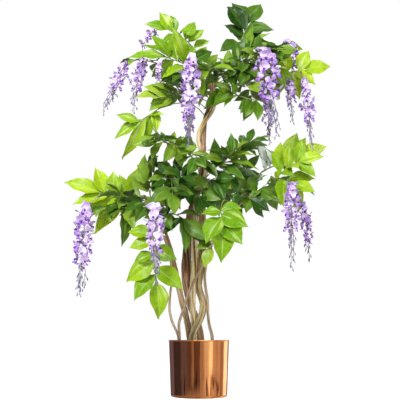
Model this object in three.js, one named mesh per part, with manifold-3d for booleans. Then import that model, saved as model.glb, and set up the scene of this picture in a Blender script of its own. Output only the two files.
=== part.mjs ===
// Wisteria tree in a copper pot. Millimetres, +Z up. The origin is the centre of the pot's underside,
// -Y is the front and +X is the right-hand side.
import * as THREE from 'three';
import { mergeVertices } from 'three/addons/utils/BufferGeometryUtils.js';
import Module from 'manifold-3d';

const wasm = await Module();
wasm.setup();

// Pot: a spun metal cylinder that widens a little towards the rim
const POT_HEIGHT = 190;
const POT_TOP_RADIUS = 105;
const POT_BOTTOM_RADIUS = 97.5;
const POT_WALL = 1.5;
const POT_CORNER = 8;
const RIM_BEAD = 2.2;
const POT_SEGMENTS = 36;

// What fills the pot
const FILL_TOP = 150;
const MOSS_EDGE = 173;
// The rest of the moss surface, inwards: [radius, height]
const MOSS_SURFACE = [[76, 176], [58, 185], [36, 190], [0, 190]];
const FILL_SEGMENTS = 24;
const STEM_FOOT = 70;

// Gap between neighbouring pieces
const CLEARANCE = 0.35;

// Stems and twigs: sides of the cross-section, and the distance between two rings along the curve
const STEM_SIDES = 7;
const STEM_SPACING = 38;
const VINE_SIDES = 5;
const VINE_SPACING = 45;
const VINE_FOOT_RADIUS = 8;
const TWIG_SIDES = 4;
const TWIG_SPACING = 48;
const TWIG_RADIUS = 2.8;
const TWIG_END_RADIUS = 1.9;

// Stalks of the side leaves. A stalk carries pairs of leaflets and one leaflet at its end.
const STALK_HALF_WIDTH = 1.3;
const STALK_LENGTH = 105;
const STALK_ANGLE = 52;
const STALK_SAG = 12;
const STALKS_FROM = 0.92;
const STALKS_SPAN = 0.62;
const PAIRS = 3;
const PAIR_STEP = 32;
const LAST_PAIR = 9;
const PAIR_ANGLE = 52;
const PAIR_ANGLE_STEP = 12;
const PAIR_ANGLE_SPREAD = 6;
const PAIR_SAG = 0.15;
const PAIR_SAG_SPREAD = 0.12;
const BUD_HALF_LENGTH = 2;

// Leaflets: where along the blade it is widest, and the place and width of its shoulder
const LEAFLET_LENGTH = 86;
const LEAFLET_LENGTH_SPREAD = 0.1;
const LEAFLET_ASPECT = 0.52;
const LONGEST_WIDE = 1.2;
const LEAFLET_WIDEST = 0.38;
const LEAFLET_SHOULDER = 0.66;
const LEAFLET_SHOULDER_WIDTH = 0.86;
const LEAFLET_CROWN = 0.33;
const LEAFLET_HALF_THICKNESS = 1;
const LEAFLET_FOLD = 0.05;
const LEAFLET_DROOP = 0.07;
const FIRST_LEAFLET = 3;
const TOUCHING_VOLUME = 0.02;
const LAST_LEAFLET_SHARE = 0.2;
const LEAFLET_SUNK = 0.6;

// Flower racemes
const RACEME_STALK_RADIUS = 1.4;
const RACEME_SIDES = 6;
const RACEME_OUTLINE = [[0, 0.3], [0.07, 0.75], [0.2, 1], [0.45, 0.9], [0.72, 0.55], [1, 0.12]];

// The two trunk strands twist about this line
const TWIST_PITCH = 250;
const TWIST_START = 740;
const TWIST_TOP = 1165;
const TWIST_AXIS = [
  [0, 0, 740], [12, 2, 780], [21, 3, 815], [17, 1, 855], [9, -5, 900], [8, -9, 938],
  [15, -8, 978], [34, 0, 1025], [50, 4, 1059], [55, 6, 1109], [46, 6, 1165],
];

const COLOURS = {
  copper: 0xc8763f,
  fill: 0x6e675f,
  moss: 0x7e8b5a,
  pale_bark: 0xc9a77a,
  brown_bark: 0x8b6a47,
  lime: 0x9ccb3b,
  green: 0x4e9a3a,
  dark: 0x2f6b33,
  lilac: 0x8e6cc8,
};

// Stems: thickness is a list of [height, radius], route is the centre line above the fill
const STEMS = {
  trunk_main: {
    colour: 'pale_bark',
    thickness: [[197, 10], [450, 11.5], [600, 11], [690, 9.4], [1000, 9], [1165, 6.5]],
    route: [
      [-17, -14, 197], [-17, -20, 251], [-23, -24, 299], [-21, -26, 344], [-21, -26, 376],
      [-18, -24, 433], [-16, -20, 505], [-14, -18, 560], [-9, -14, 672],
    ],
    twist_phase: -90,
  },
  trunk_twist: {
    colour: 'brown_bark',
    thickness: [[197, 12], [330, 13], [450, 16], [600, 15], [690, 10.5], [740, 9.6], [1000, 9], [1165, 6.5]],
    route: [
      [6, 6, 197], [-2, 8, 238], [-18, 14, 280], [-30, 12, 315], [-40, 6, 354], [-46, 2, 400],
      [-46, 0, 453], [-43, 4, 508], [-39, 4, 574], [-33, 4, 634], [-22, 6, 683],
    ],
    twist_phase: 90,
  },
  stem_left: {
    colour: 'brown_bark',
    thickness: [[197, 11], [465, 10.5], [640, 8.5], [704, 6]],
    route: [
      [-30, 16, 197], [-36, 18, 224], [-47, 18, 277], [-60, 16, 322], [-72, 12, 368], [-81, 10, 415],
      [-94, 4, 465], [-105, 0, 508], [-116, -6, 543], [-135, -10, 594], [-153, -12, 638],
      [-177, -20, 672], [-205, -30, 704],
    ],
  },
  stem_loop: {
    colour: 'brown_bark',
    thickness: [[197, 11.5], [330, 12.5], [444, 14.5], [600, 14.5], [700, 11], [800, 7]],
    route: [
      [-27, -38, 197], [-12, -42, 230], [4, -40, 256], [14, -28, 284], [17, -8, 313], [10, 10, 338],
      [-2, 17, 367], [-1, 17, 401], [6, 17, 444], [9, 16, 491], [13, 16, 539], [14, 19, 599],
      [12, 26, 659], [16, 44, 710], [30, 75, 760], [40, 105, 800],
    ],
  },
  vine_left_outer: {
    colour: 'pale_bark',
    thickness: [[197, 5], [560, 4.4], [622, 3.6]],
    route: [
      [-67, -30, 197], [-77, -34, 217], [-94, -30, 251], [-105, -26, 299], [-102, -24, 345],
      [-96, -24, 397], [-100, -26, 461], [-107, -30, 511], [-129, -40, 568], [-148, -62, 598],
      [-168, -95, 622],
    ],
  },
  vine_left_inner: {
    colour: 'brown_bark',
    thickness: [[197, 5.4], [560, 4.8], [618, 3.8]],
    route: [
      [-66, -42, 197], [-70, -48, 234], [-69, -50, 257], [-59, -50, 278], [-50, -50, 305],
      [-42, -50, 333], [-33, -50, 360], [-21, -48, 385], [-7, -46, 409], [7, -38, 439],
      [25, -30, 482], [39, -30, 518], [57, -42, 560], [86, -64, 592], [112, -95, 618],
    ],
  },
  vine_right: {
    colour: 'brown_bark',
    thickness: [[197, 6], [590, 5.4], [760, 3.8]],
    route: [
      [47, -20, 197], [36, -22, 238], [31, -24, 268], [31, -24, 310], [28, -18, 345], [24, -14, 363],
      [20, -10, 392], [20, -8, 418], [26, -8, 457], [36, -10, 499], [52, -16, 541], [79, -26, 591],
      [125, -35, 640], [170, -42, 700], [200, -50, 760],
    ],
  },
};

// Which way the upper side of a leaf looks
const TO_FRONT = [0, -1, 0.4];
const TILTED = [0, -0.75, 0.65];
const UP = [0, -0.35, 1];
const TO_BACK = [0, 1, 0.6];
const UP_BACK = [0, 0.5, 1];

// Leaf sprays: a twig leaves its stem at the given height and runs through the points. The tips are the
// leaflet ends at the twig's outer end, from the end inwards. Side leaves are spread along the twig, and
// look the same way unless a side_face is given.
const SPRAYS = [
  { name: 'spray_lower_left_tip', stem: 'stem_left', height: 692, tone: 'lime', face: TO_FRONT, step: 17,
    twig: [[-217, -50, 697], [-271, -72, 686], [-311, -98, 688], [-350, -110, 697]], side_leaves: 0,
    tips: [[-472, -130, 738], [-369, -112, 790], [-438, -150, 664], [-303, -110, 776], [-414, -165, 628],
      [-368, -150, 572], [-282, -95, 767], [-222, -90, 794]] },
  { name: 'spray_lower_left_rise', stem: 'stem_left', height: 668, tone: 'dark', face: TO_FRONT, step: 14,
    twig: [[-174, -70, 694], [-178, -110, 715], [-183, -148, 730]], side_leaves: 2,
    tips: [[-194, -172, 820], [-231, -160, 753], [-140, -160, 740], [-214, -170, 705]] },
  { name: 'spray_lower_left_low', stem: 'stem_left', height: 640, tone: 'dark', face: UP, step: 14,
    twig: [[-190, -80, 655], [-230, -145, 645], [-258, -180, 615]], side_leaves: 4,
    tips: [[-240, -205, 492], [-310, -200, 563], [-213, -225, 545], [-302, -170, 627], [-270, -215, 527],
      [-197, -200, 597]] },
  { name: 'spray_lower_left_front', stem: 'vine_left_outer', height: 612, tone: 'lime', face: TO_FRONT,
    step: 22, side_leaves: 0,
    twig: [[-152, -160, 602], [-146, -225, 565], [-151, -245, 503], [-142, -250, 430], [-136, -252, 368]],
    tips: [[-120, -250, 252], [-207, -262, 312], [-44, -262, 348], [-230, -262, 369], [-210, -262, 432],
      [-70, -250, 440], [-225, -255, 481], [-232, -240, 540]] },
  { name: 'spray_middle_left', stem: 'trunk_twist', height: 1020, tone: 'lime', face: TO_FRONT, step: 15,
    twig: [[-20, -45, 1050], [-76, -80, 1042], [-130, -110, 1018], [-180, -130, 974], [-217, -140, 946]],
    side_leaves: 0,
    tips: [[-292, -160, 969], [-312, -165, 908], [-282, -150, 817], [-121, -150, 976], [-221, -155, 867],
      [-152, -140, 909]] },
  { name: 'spray_lower_left_crown', stem: 'trunk_twist', height: 770, tone: 'green', face: TO_FRONT, step: 15,
    twig: [[-8, -58, 820], [-50, -100, 850], [-99, -130, 868], [-148, -140, 875]],
    side_face: UP, side_leaves: 4,
    tips: [[-227, -160, 858], [-172, -165, 802], [-138, -140, 913], [-80, -130, 916], [-121, -165, 795],
      [-35, -150, 854], [-66, -160, 778], [-4, -110, 866]] },
  { name: 'spray_lower_left_inner', stem: 'trunk_main', height: 690, tone: 'dark', face: TILTED, step: 15,
    twig: [[-20, -65, 722], [-52, -120, 733], [-88, -160, 732], [-126, -185, 728]], side_leaves: 4,
    tips: [[-175, -205, 720], [-137, -190, 791], [-150, -220, 668], [-68, -215, 614], [-83, -170, 790],
      [-116, -225, 622], [-30, -190, 633]] },
  { name: 'spray_lower_left_under', stem: 'stem_left', height: 600, tone: 'dark', face: TILTED, step: 15,
    twig: [[-114, -70, 622], [-83, -140, 612], [-50, -190, 585]], side_leaves: 2,
    tips: [[36, -230, 501], [-111, -235, 527], [-33, -225, 469], [0, -200, 607], [-127, -200, 621]] },
  { name: 'spray_lower_centre_crown', stem: 'trunk_main', height: 765, tone: 'green', face: TILTED,
    step: 13, side_face: UP, side_leaves: 6,
    twig: [[56, -60, 795], [86, -100, 817], [118, -135, 837]],
    tips: [[110, -165, 897], [170, -160, 875], [31, -185, 840], [188, -165, 827], [21, -190, 802],
      [211, -200, 763], [146, -205, 772], [67, -150, 879]] },
  { name: 'spray_lower_centre_front', stem: 'trunk_main', height: 715, tone: 'dark', face: TO_FRONT,
    step: 12, side_leaves: 2,
    twig: [[12, -60, 735], [40, -110, 742], [60, -135, 735]],
    tips: [[124, -160, 739], [88, -190, 654], [-28, -165, 741], [-21, -165, 688], [75, -200, 746],
      [156, -190, 699]] },
  { name: 'spray_hanging_front', stem: 'vine_left_inner', height: 610, tone: 'lime', face: TO_FRONT,
    step: 9, side_leaves: 0,
    twig: [[102, -160, 650], [80, -235, 640], [71, -280, 604], [73, -300, 551]],
    tips: [[78, -300, 424], [141, -312, 485], [16, -312, 488], [154, -305, 531], [6, -300, 583],
      [140, -295, 601], [103, -290, 640]] },
  { name: 'spray_lower_front_low', stem: 'trunk_main', height: 590, tone: 'green', face: TO_FRONT, step: 14,
    twig: [[11, -90, 580], [31, -150, 534], [43, -190, 487]], side_leaves: 0,
    tips: [[16, -200, 420], [-33, -200, 553], [-10, -200, 486]] },
  { name: 'spray_lower_right_tip', stem: 'vine_right', height: 748, tone: 'lime', face: TO_FRONT, step: 17,
    twig: [[225, -60, 784], [274, -75, 804], [323, -88, 822], [370, -95, 837]], side_leaves: 0,
    tips: [[460, -100, 873], [381, -105, 906], [384, -125, 781], [350, -100, 921], [314, -140, 762],
      [292, -120, 878], [248, -130, 856], [209, -95, 901], [219, -130, 834]] },
  { name: 'spray_lower_right_low', stem: 'vine_right', height: 710, tone: 'lime', face: TO_FRONT, step: 16,
    twig: [[225, -100, 742], [285, -150, 738], [330, -180, 708]], side_leaves: 1,
    tips: [[394, -200, 683], [375, -170, 589], [404, -172, 718], [276, -222, 628], [348, -190, 755],
      [279, -170, 764]] },
  { name: 'spray_lower_right_inner', stem: 'vine_right', height: 660, tone: 'dark', face: TILTED, step: 14,
    twig: [[127, -95, 686], [158, -150, 672], [178, -185, 655]], side_leaves: 1,
    tips: [[237, -205, 613], [211, -180, 691], [159, -215, 607], [107, -210, 629], [280, -170, 665]] },
  { name: 'spray_lower_right_side', stem: 'vine_right', height: 690, tone: 'green', face: UP, step: 16,
    twig: [[215, -20, 740], [270, 30, 765], [310, 60, 765]], side_leaves: 3,
    tips: [[381, 90, 753], [366, 30, 801], [328, 130, 739], [292, -30, 675]] },
  { name: 'spray_lower_back_left', stem: 'stem_left', height: 655, tone: 'green', face: UP_BACK, step: 16,
    twig: [[-190, 50, 700], [-225, 110, 715], [-240, 160, 700]], side_leaves: 2,
    tips: [[-320, 190, 680], [-320, 110, 730], [-225, 230, 690]] },
  { name: 'spray_lower_back_centre', stem: 'stem_loop', height: 780, tone: 'green', face: UP_BACK, step: 16,
    twig: [[45, 150, 800], [60, 200, 785], [70, 235, 750]], side_leaves: 3,
    tips: [[80, 300, 690], [135, 250, 740], [5, 270, 730]] },
  { name: 'spray_lower_back_right', stem: 'stem_loop', height: 740, tone: 'dark', face: TO_BACK, step: 16,
    twig: [[80, 110, 765], [150, 150, 785], [205, 175, 785]], side_leaves: 3,
    tips: [[290, 200, 755], [250, 240, 735], [255, 130, 800]] },
  { name: 'spray_upper_left_crown', stem: 'trunk_main', height: 1150, tone: 'lime', face: TO_FRONT, step: 15,
    twig: [[2, -60, 1228], [-28, -85, 1270], [-71, -105, 1298], [-119, -120, 1318]], side_leaves: 0,
    tips: [[-200, -140, 1336], [-149, -132, 1385], [-105, -115, 1383], [-37, -150, 1310], [-139, -150, 1251],
      [-15, -95, 1369], [19, -85, 1341], [-61, -165, 1172], [42, -60, 1305]] },
  { name: 'spray_upper_left', stem: 'trunk_main', height: 1120, tone: 'lime', face: TO_FRONT, step: 14,
    twig: [[5, -78, 1160], [-38, -140, 1161], [-79, -170, 1166], [-117, -190, 1172]], side_leaves: 0,
    tips: [[-254, -210, 1182], [-181, -205, 1238], [-235, -215, 1145], [-97, -182, 1277], [-210, -220, 1212],
      [-55, -150, 1282], [-145, -200, 1285], [-129, -215, 1096]] },
  { name: 'spray_upper_left_mid', stem: 'trunk_twist', height: 1095, tone: 'green', face: UP, step: 18,
    twig: [[-30, -40, 1140], [-110, -85, 1180], [-190, -108, 1196], [-245, -118, 1196]], side_leaves: 0,
    tips: [[-296, -100, 1196], [-250, -160, 1150], [-215, -150, 1165], [-232, -60, 1205], [-150, -160, 1150],
      [-180, -40, 1190]] },
  { name: 'spray_upper_left_low', stem: 'trunk_twist', height: 1045, tone: 'green', face: TILTED, step: 15,
    twig: [[-37, -55, 1080], [-81, -95, 1067], [-127, -125, 1045]], side_leaves: 0,
    tips: [[-226, -172, 1017], [-192, -168, 1075], [-177, -165, 986], [-168, -158, 1087], [-137, -150, 1098],
      [-95, -120, 1110]] },
  { name: 'spray_upper_front_left', stem: 'trunk_main', height: 1080, tone: 'green', face: TO_FRONT, step: 12,
    twig: [[34, -85, 1080], [12, -140, 1091], [-10, -200, 1106], [-31, -238, 1131]],
    side_face: UP, side_leaves: 6,
    tips: [[60, -225, 1167], [10, -255, 1100], [32, -200, 1210], [50, -220, 1128], [-47, -250, 1084],
      [70, -190, 1190], [10, -205, 1007], [32, -195, 1045], [-10, -208, 1013], [49, -195, 1082]] },
  { name: 'spray_top_right', stem: 'trunk_main', height: 1155, tone: 'dark', face: TO_FRONT, step: 16,
    twig: [[108, -20, 1217], [148, -10, 1288], [172, -8, 1348], [193, 0, 1409]], side_leaves: 0,
    tips: [[242, -5, 1501], [135, -5, 1501], [103, -10, 1468], [294, -10, 1386], [98, -12, 1402],
      [268, -15, 1319], [77, -20, 1283]] },
  { name: 'spray_upper_centre', stem: 'trunk_main', height: 1135, tone: 'green', face: TILTED, step: 14,
    twig: [[80, -65, 1150], [114, -110, 1161], [156, -140, 1177], [203, -150, 1191]], side_leaves: 6,
    tips: [[246, -165, 1215], [219, -190, 1115], [184, -130, 1245], [150, -205, 1070], [101, -170, 1182],
      [115, -200, 1046], [64, -170, 1131]] },
  { name: 'spray_upper_right_tip', stem: 'trunk_twist', height: 1110, tone: 'lime', face: TO_FRONT, step: 16,
    twig: [[140, -35, 1150], [233, -60, 1162], [317, -80, 1160], [388, -92, 1168]], side_leaves: 0,
    tips: [[490, -102, 1182], [411, -96, 1252], [432, -112, 1115], [374, -120, 1061], [331, -105, 1237],
      [298, -140, 1049], [259, -150, 1094]] },
  { name: 'spray_upper_right_back', stem: 'trunk_main', height: 1145, tone: 'green', face: TO_FRONT, step: 18,
    twig: [[155, 10, 1205], [240, -10, 1267], [324, -28, 1300]], side_leaves: 1,
    tips: [[389, -50, 1260], [287, -60, 1222], [344, -60, 1214], [239, -30, 1316], [190, -50, 1235]] },
  { name: 'spray_upper_front_right', stem: 'trunk_main', height: 1085, tone: 'dark', face: TILTED, step: 18,
    twig: [[110, -85, 1125], [172, -165, 1165], [222, -228, 1178]], side_leaves: 2,
    tips: [[300, -255, 1190], [205, -245, 1235], [150, -250, 1180]] },
  { name: 'spray_upper_hanging', stem: 'trunk_main', height: 1060, tone: 'green', face: TO_FRONT, step: 15,
    twig: [[81, -85, 1080], [120, -160, 1048], [162, -205, 1009], [215, -210, 998]], side_leaves: 0,
    tips: [[257, -228, 961], [202, -225, 924], [175, -222, 935], [141, -218, 954], [114, -215, 970],
      [166, -230, 1052], [83, -200, 988], [115, -215, 1065], [45, -190, 993], [60, -190, 1075],
      [17, -190, 1005], [25, -195, 1036], [42, -190, 1062]] },
  { name: 'spray_upper_right_low', stem: 'trunk_twist', height: 1080, tone: 'green', face: TILTED, step: 15,
    twig: [[130, -50, 1100], [200, -110, 1125], [262, -150, 1135]], side_leaves: 2,
    tips: [[347, -165, 1105], [338, -175, 1040], [290, -185, 1040], [210, -190, 1060]] },
  { name: 'spray_upper_back_left', stem: 'trunk_twist', height: 1070, tone: 'dark', face: UP_BACK, step: 16,
    twig: [[0, 60, 1120], [-60, 110, 1155], [-120, 145, 1160]], side_leaves: 1,
    tips: [[-205, 165, 1140], [-160, 100, 1185], [-165, 215, 1120]] },
  { name: 'spray_upper_back_centre', stem: 'trunk_twist', height: 1130, tone: 'green', face: UP_BACK,
    step: 16, side_leaves: 3,
    twig: [[25, 75, 1180], [-5, 145, 1200], [-30, 200, 1190]],
    tips: [[-45, 285, 1160], [40, 245, 1205], [-100, 240, 1185]] },
  { name: 'spray_upper_back_right', stem: 'trunk_twist', height: 1100, tone: 'dark', face: TO_BACK, step: 16,
    twig: [[120, 60, 1165], [190, 110, 1200], [245, 150, 1200]], side_leaves: 2,
    tips: [[325, 175, 1185], [290, 110, 1235], [270, 225, 1160]] },
];

// Flower racemes: each hangs from a spray's twig. The path runs from the first flower to the last bud.
const RACEMES = [
  { name: 'raceme_upper_left_outer', spray: 'spray_upper_left_mid', radius: 33,
    path: [[-265, -120, 1172], [-300, -130, 1100], [-345, -140, 985]] },
  { name: 'raceme_upper_left_inner', spray: 'spray_upper_left_mid', radius: 32,
    path: [[-204, -135, 1178], [-222, -146, 1100], [-232, -155, 975]] },
  { name: 'raceme_upper_left_small', spray: 'spray_upper_left', radius: 16,
    path: [[-138, -200, 1150], [-142, -204, 1110], [-145, -206, 1072]] },
  { name: 'raceme_upper_left_top', spray: 'spray_upper_left_crown', radius: 14,
    path: [[-158, -95, 1328], [-188, -90, 1312], [-214, -84, 1262]] },
  { name: 'raceme_upper_centre', spray: 'spray_upper_front_left', radius: 42,
    path: [[-24, -264, 1126], [-32, -272, 1000], [-34, -275, 815]] },
  { name: 'raceme_upper_right_front', spray: 'spray_upper_front_right', radius: 46,
    path: [[230, -256, 1150], [240, -266, 1010], [262, -268, 850]] },
  { name: 'raceme_upper_right_middle', spray: 'spray_upper_right_tip', radius: 26,
    path: [[328, -130, 1110], [330, -136, 1030], [333, -138, 948]] },
  { name: 'raceme_upper_right_top', spray: 'spray_upper_right_back', radius: 30,
    path: [[345, -62, 1285], [350, -70, 1220], [356, -76, 1150]] },
  { name: 'raceme_upper_right_outer', spray: 'spray_upper_right_tip', radius: 32,
    path: [[384, -140, 1075], [392, -148, 960], [398, -150, 815]] },
  { name: 'raceme_lower_left', spray: 'spray_lower_left_tip', radius: 44,
    path: [[-378, -175, 622], [-386, -182, 500], [-391, -184, 333]] },
  { name: 'raceme_lower_front', spray: 'spray_lower_left_front', radius: 38,
    path: [[-140, -318, 605], [-134, -326, 500], [-128, -328, 357]] },
  { name: 'raceme_lower_right_inner', spray: 'spray_lower_right_low', radius: 34,
    path: [[308, -232, 684], [302, -236, 560], [297, -236, 415]] },
  { name: 'raceme_lower_right_outer', spray: 'spray_lower_right_low', radius: 27,
    path: [[362, -130, 640], [370, -132, 560], [376, -132, 452]] },
  { name: 'raceme_back_upper_centre', spray: 'spray_upper_back_centre', radius: 34,
    path: [[-42, 222, 1150], [-44, 230, 1060], [-46, 230, 960]] },
  { name: 'raceme_back_upper_right', spray: 'spray_upper_back_right', radius: 34,
    path: [[280, 185, 1150], [286, 192, 1070], [290, 192, 970]] },
  { name: 'raceme_back_lower_left', spray: 'spray_lower_back_left', radius: 30,
    path: [[-186, 185, 670], [-180, 195, 580], [-178, 195, 470]] },
];

// Turns that a leaflet may take to stay clear of what is placed already: degrees sideways, degrees up,
// degrees about its own length, and a scale
const LEAFLET_TURNS = [
  [0, 0, 0, 1], [0, 10, 0, 1], [0, -10, 0, 1], [10, 0, 15, 1], [-10, 0, -15, 1], [0, 20, 20, 1],
  [0, -20, -20, 1], [18, 12, 0, 1], [-18, -12, 0, 1], [18, -12, 25, 0.9], [-18, 12, -25, 0.9],
  [0, 32, 0, 0.9], [0, -32, 0, 0.9], [28, 20, 30, 0.8], [-28, -20, -30, 0.8], [0, 45, 40, 0.75],
  [0, -45, -40, 0.75], [35, -30, 0, 0.7], [-35, 30, 0, 0.7],
];
// Turns that a side leaf's stalk may take: degrees more or less sideways, and degrees up
const STALK_TURNS = [[0, 0], [-15, 12], [15, -12], [-25, -20], [20, 25], [-5, 40], [30, -35], [0, -50]];

const vector = (point) => new THREE.Vector3(...point);
const radians = THREE.MathUtils.degToRad;
const smoothCurve = (points) => new THREE.CatmullRomCurve3(points, false, 'centripetal');

// A repeatable value between -1 and 1 for each whole number
function vary(count) {
  const value = Math.sin(count * 12.9898) * 43758.5453;
  return 2 * (value - Math.floor(value)) - 1;
}

// Reads a list of [place, value] pairs at a place, in straight lines
function readAt(pairs, place) {
  const next = pairs.findIndex((pair) => pair[0] >= place);
  if (next === 0) return pairs[0][1];
  if (next === -1) return pairs[pairs.length - 1][1];
  const [before, after] = [pairs[next - 1], pairs[next]];
  const share = (place - before[0]) / (after[0] - before[0]);
  return THREE.MathUtils.lerp(before[1], after[1], share);
}

function solidOf(geometry) {
  geometry.deleteAttribute('normal');
  geometry.deleteAttribute('uv');
  const merged = mergeVertices(geometry, 1e-4);
  const mesh = new wasm.Mesh({
    numProp: 3,
    vertProperties: new Float32Array(merged.attributes.position.array),
    triVerts: new Uint32Array(merged.index.array),
  });
  return new wasm.Manifold(mesh);
}

function geometryOf(solid) {
  const mesh = solid.getMesh();
  const geometry = new THREE.BufferGeometry();
  geometry.setAttribute('position', new THREE.BufferAttribute(new Float32Array(mesh.vertProperties), 3));
  geometry.setIndex(new THREE.BufferAttribute(new Uint32Array(mesh.triVerts), 1));
  geometry.computeVertexNormals();
  return geometry;
}

// A closed tube along a curve: a capped cylinder bent to it. Stations are [share of length, radius].
function tubeGeometry(curve, stations, sides) {
  const FRAME_STEPS = 120;
  const frames = curve.computeFrenetFrames(FRAME_STEPS);
  const geometry = new THREE.CylinderGeometry(1, 1, 1, sides, stations.length - 1);
  const position = geometry.attributes.position;
  const vertex = new THREE.Vector3();
  for (let i = 0; i < position.count; i += 1) {
    vertex.fromBufferAttribute(position, i);
    const ring = Math.round((vertex.y + 0.5) * (stations.length - 1));
    const [along, radius] = stations[ring];
    const frame = Math.round(along * FRAME_STEPS);
    const point = curve.getPointAt(along);
    point.addScaledVector(frames.normals[frame], vertex.x * radius);
    point.addScaledVector(frames.binormals[frame], -vertex.z * radius);
    position.setXYZ(i, point.x, point.y, point.z);
  }
  return geometry;
}

function evenStations(curve, spacing, radiusAt) {
  const count = Math.max(2, Math.round(curve.getLength() / spacing));
  const stations = [];
  for (let i = 0; i <= count; i += 1) {
    stations.push([i / count, radiusAt(i / count)]);
  }
  return stations;
}

// A round bar along a curve, with the same bar grown by the clearance, which cuts the room around it
function bar(curve, stations, sides) {
  const grown = stations.map(([along, radius]) => [along, radius + CLEARANCE]);
  return {
    curve,
    solid: solidOf(tubeGeometry(curve, stations, sides)),
    grown: solidOf(tubeGeometry(curve, grown, sides)),
  };
}

function boxesMeet(first, second) {
  const a = first.boundingBox();
  const b = second.boundingBox();
  return [0, 1, 2].every((axis) => a.min[axis] < b.max[axis] + 1 && b.min[axis] < a.max[axis] + 1);
}

const isClear = (solid, others) => others.every(
  (other) => !boxesMeet(solid, other) || solid.minGap(other, 1) >= CLEARANCE,
);

function largestPiece(solid) {
  const pieces = solid.decompose();
  return pieces.reduce((best, piece) => (piece.volume() > best.volume() ? piece : best));
}

// Cuts the room around each bar out of a solid, and keeps its main piece
function cutRoom(solid, bars) {
  const near = bars.filter((other) => boxesMeet(solid, other.grown));
  return largestPiece(near.reduce((rest, other) => rest.subtract(other.grown), solid));
}

const joined = (solids) => solids.reduce((whole, piece) => whole.add(piece));

function nearestShare(curve, point) {
  const SAMPLES = 200;
  let best = 0;
  for (let i = 1; i <= SAMPLES; i += 1) {
    const gap = curve.getPointAt(i / SAMPLES).distanceTo(point);
    if (gap < curve.getPointAt(best).distanceTo(point)) best = i / SAMPLES;
  }
  return best;
}

function pointAtHeight(curve, height) {
  const SAMPLES = 400;
  let best = curve.getPointAt(0);
  for (let i = 1; i <= SAMPLES; i += 1) {
    const point = curve.getPointAt(i / SAMPLES);
    if (Math.abs(point.z - height) < Math.abs(best.z - height)) best = point;
  }
  return best;
}

function wallRadius(height) {
  return THREE.MathUtils.mapLinear(height, 0, POT_HEIGHT, POT_BOTTOM_RADIUS, POT_TOP_RADIUS);
}

function turnedSolid(profile, segments) {
  const points = profile.map(([radius, height]) => new THREE.Vector2(radius, height));
  return solidOf(new THREE.LatheGeometry(points, segments).rotateX(Math.PI / 2));
}

function potSolid() {
  const outline = [[0, 0]];
  for (const angle of [-90, -60, -30, 0]) {
    const radius = wallRadius(POT_CORNER) - POT_CORNER * (1 - Math.cos(radians(angle)));
    outline.push([radius, POT_CORNER + POT_CORNER * Math.sin(radians(angle))]);
  }
  const beadFoot = POT_HEIGHT - 2 * RIM_BEAD;
  const beadRadius = wallRadius(POT_HEIGHT) + RIM_BEAD / 2;
  outline.push([wallRadius(beadFoot), beadFoot]);
  outline.push([beadRadius, beadFoot + 0.6 * RIM_BEAD]);
  outline.push([beadRadius, POT_HEIGHT - 0.5 * RIM_BEAD]);
  outline.push([wallRadius(POT_HEIGHT), POT_HEIGHT]);
  outline.push([wallRadius(POT_HEIGHT) - POT_WALL, POT_HEIGHT]);
  outline.push([wallRadius(POT_CORNER) - POT_WALL, POT_CORNER]);
  outline.push([wallRadius(0) - POT_CORNER, POT_WALL]);
  outline.push([0, POT_WALL]);
  return turnedSolid(outline, POT_SEGMENTS);
}

function fillSolid(stems) {
  const fill = turnedSolid([
    [0, POT_WALL + CLEARANCE],
    [wallRadius(0) - POT_CORNER - 2 * CLEARANCE, POT_WALL + CLEARANCE],
    [wallRadius(POT_CORNER) - POT_WALL - 3 * CLEARANCE, POT_CORNER + CLEARANCE],
    [wallRadius(FILL_TOP) - POT_WALL - 2 * CLEARANCE, FILL_TOP],
    [0, FILL_TOP],
  ], FILL_SEGMENTS);
  return cutRoom(fill, stems);
}

function mossSolid(stems) {
  const moss = turnedSolid([
    [0, FILL_TOP + CLEARANCE],
    [wallRadius(FILL_TOP) - POT_WALL - 2 * CLEARANCE, FILL_TOP + CLEARANCE],
    [wallRadius(MOSS_EDGE) - POT_WALL - 2 * CLEARANCE, MOSS_EDGE],
    ...MOSS_SURFACE,
  ], FILL_SEGMENTS);
  return cutRoom(moss, stems);
}

// The part of a strand's route where it winds round the twist axis
function twistedRoute(phase, thickness) {
  const axis = smoothCurve(TWIST_AXIS.map(vector));
  const turns = (TWIST_TOP - TWIST_START) / TWIST_PITCH;
  const COUNT = 16;
  const route = [];
  for (let i = 0; i <= COUNT; i += 1) {
    const point = axis.getPointAt(i / COUNT);
    const angle = radians(phase + 360 * turns * (i / COUNT));
    const offset = readAt(thickness, point.z) + CLEARANCE;
    point.x += offset * Math.cos(angle);
    point.y += offset * Math.sin(angle);
    route.push(point);
  }
  return route;
}

function stemBar(stem) {
  const [footX, footY] = stem.route[0];
  const points = [new THREE.Vector3(footX, footY, STEM_FOOT), new THREE.Vector3(footX, footY, FILL_TOP)];
  points.push(...stem.route.map(vector));
  if (stem.twist_phase !== undefined) points.push(...twistedRoute(stem.twist_phase, stem.thickness));
  const curve = smoothCurve(points);
  const radiusAt = (along) => readAt(stem.thickness, curve.getPointAt(along).z);
  const isVine = stem.thickness[0][1] < VINE_FOOT_RADIUS;
  const stations = evenStations(curve, isVine ? VINE_SPACING : STEM_SPACING, radiusAt);
  return bar(curve, stations, isVine ? VINE_SIDES : STEM_SIDES);
}

function twigBar(spray, stem) {
  const curve = smoothCurve([pointAtHeight(stem.curve, spray.height), ...spray.twig.map(vector)]);
  const radiusAt = (along) => THREE.MathUtils.lerp(TWIG_RADIUS, TWIG_END_RADIUS, along);
  return bar(curve, evenStations(curve, TWIG_SPACING, radiusAt), TWIG_SIDES);
}

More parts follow.
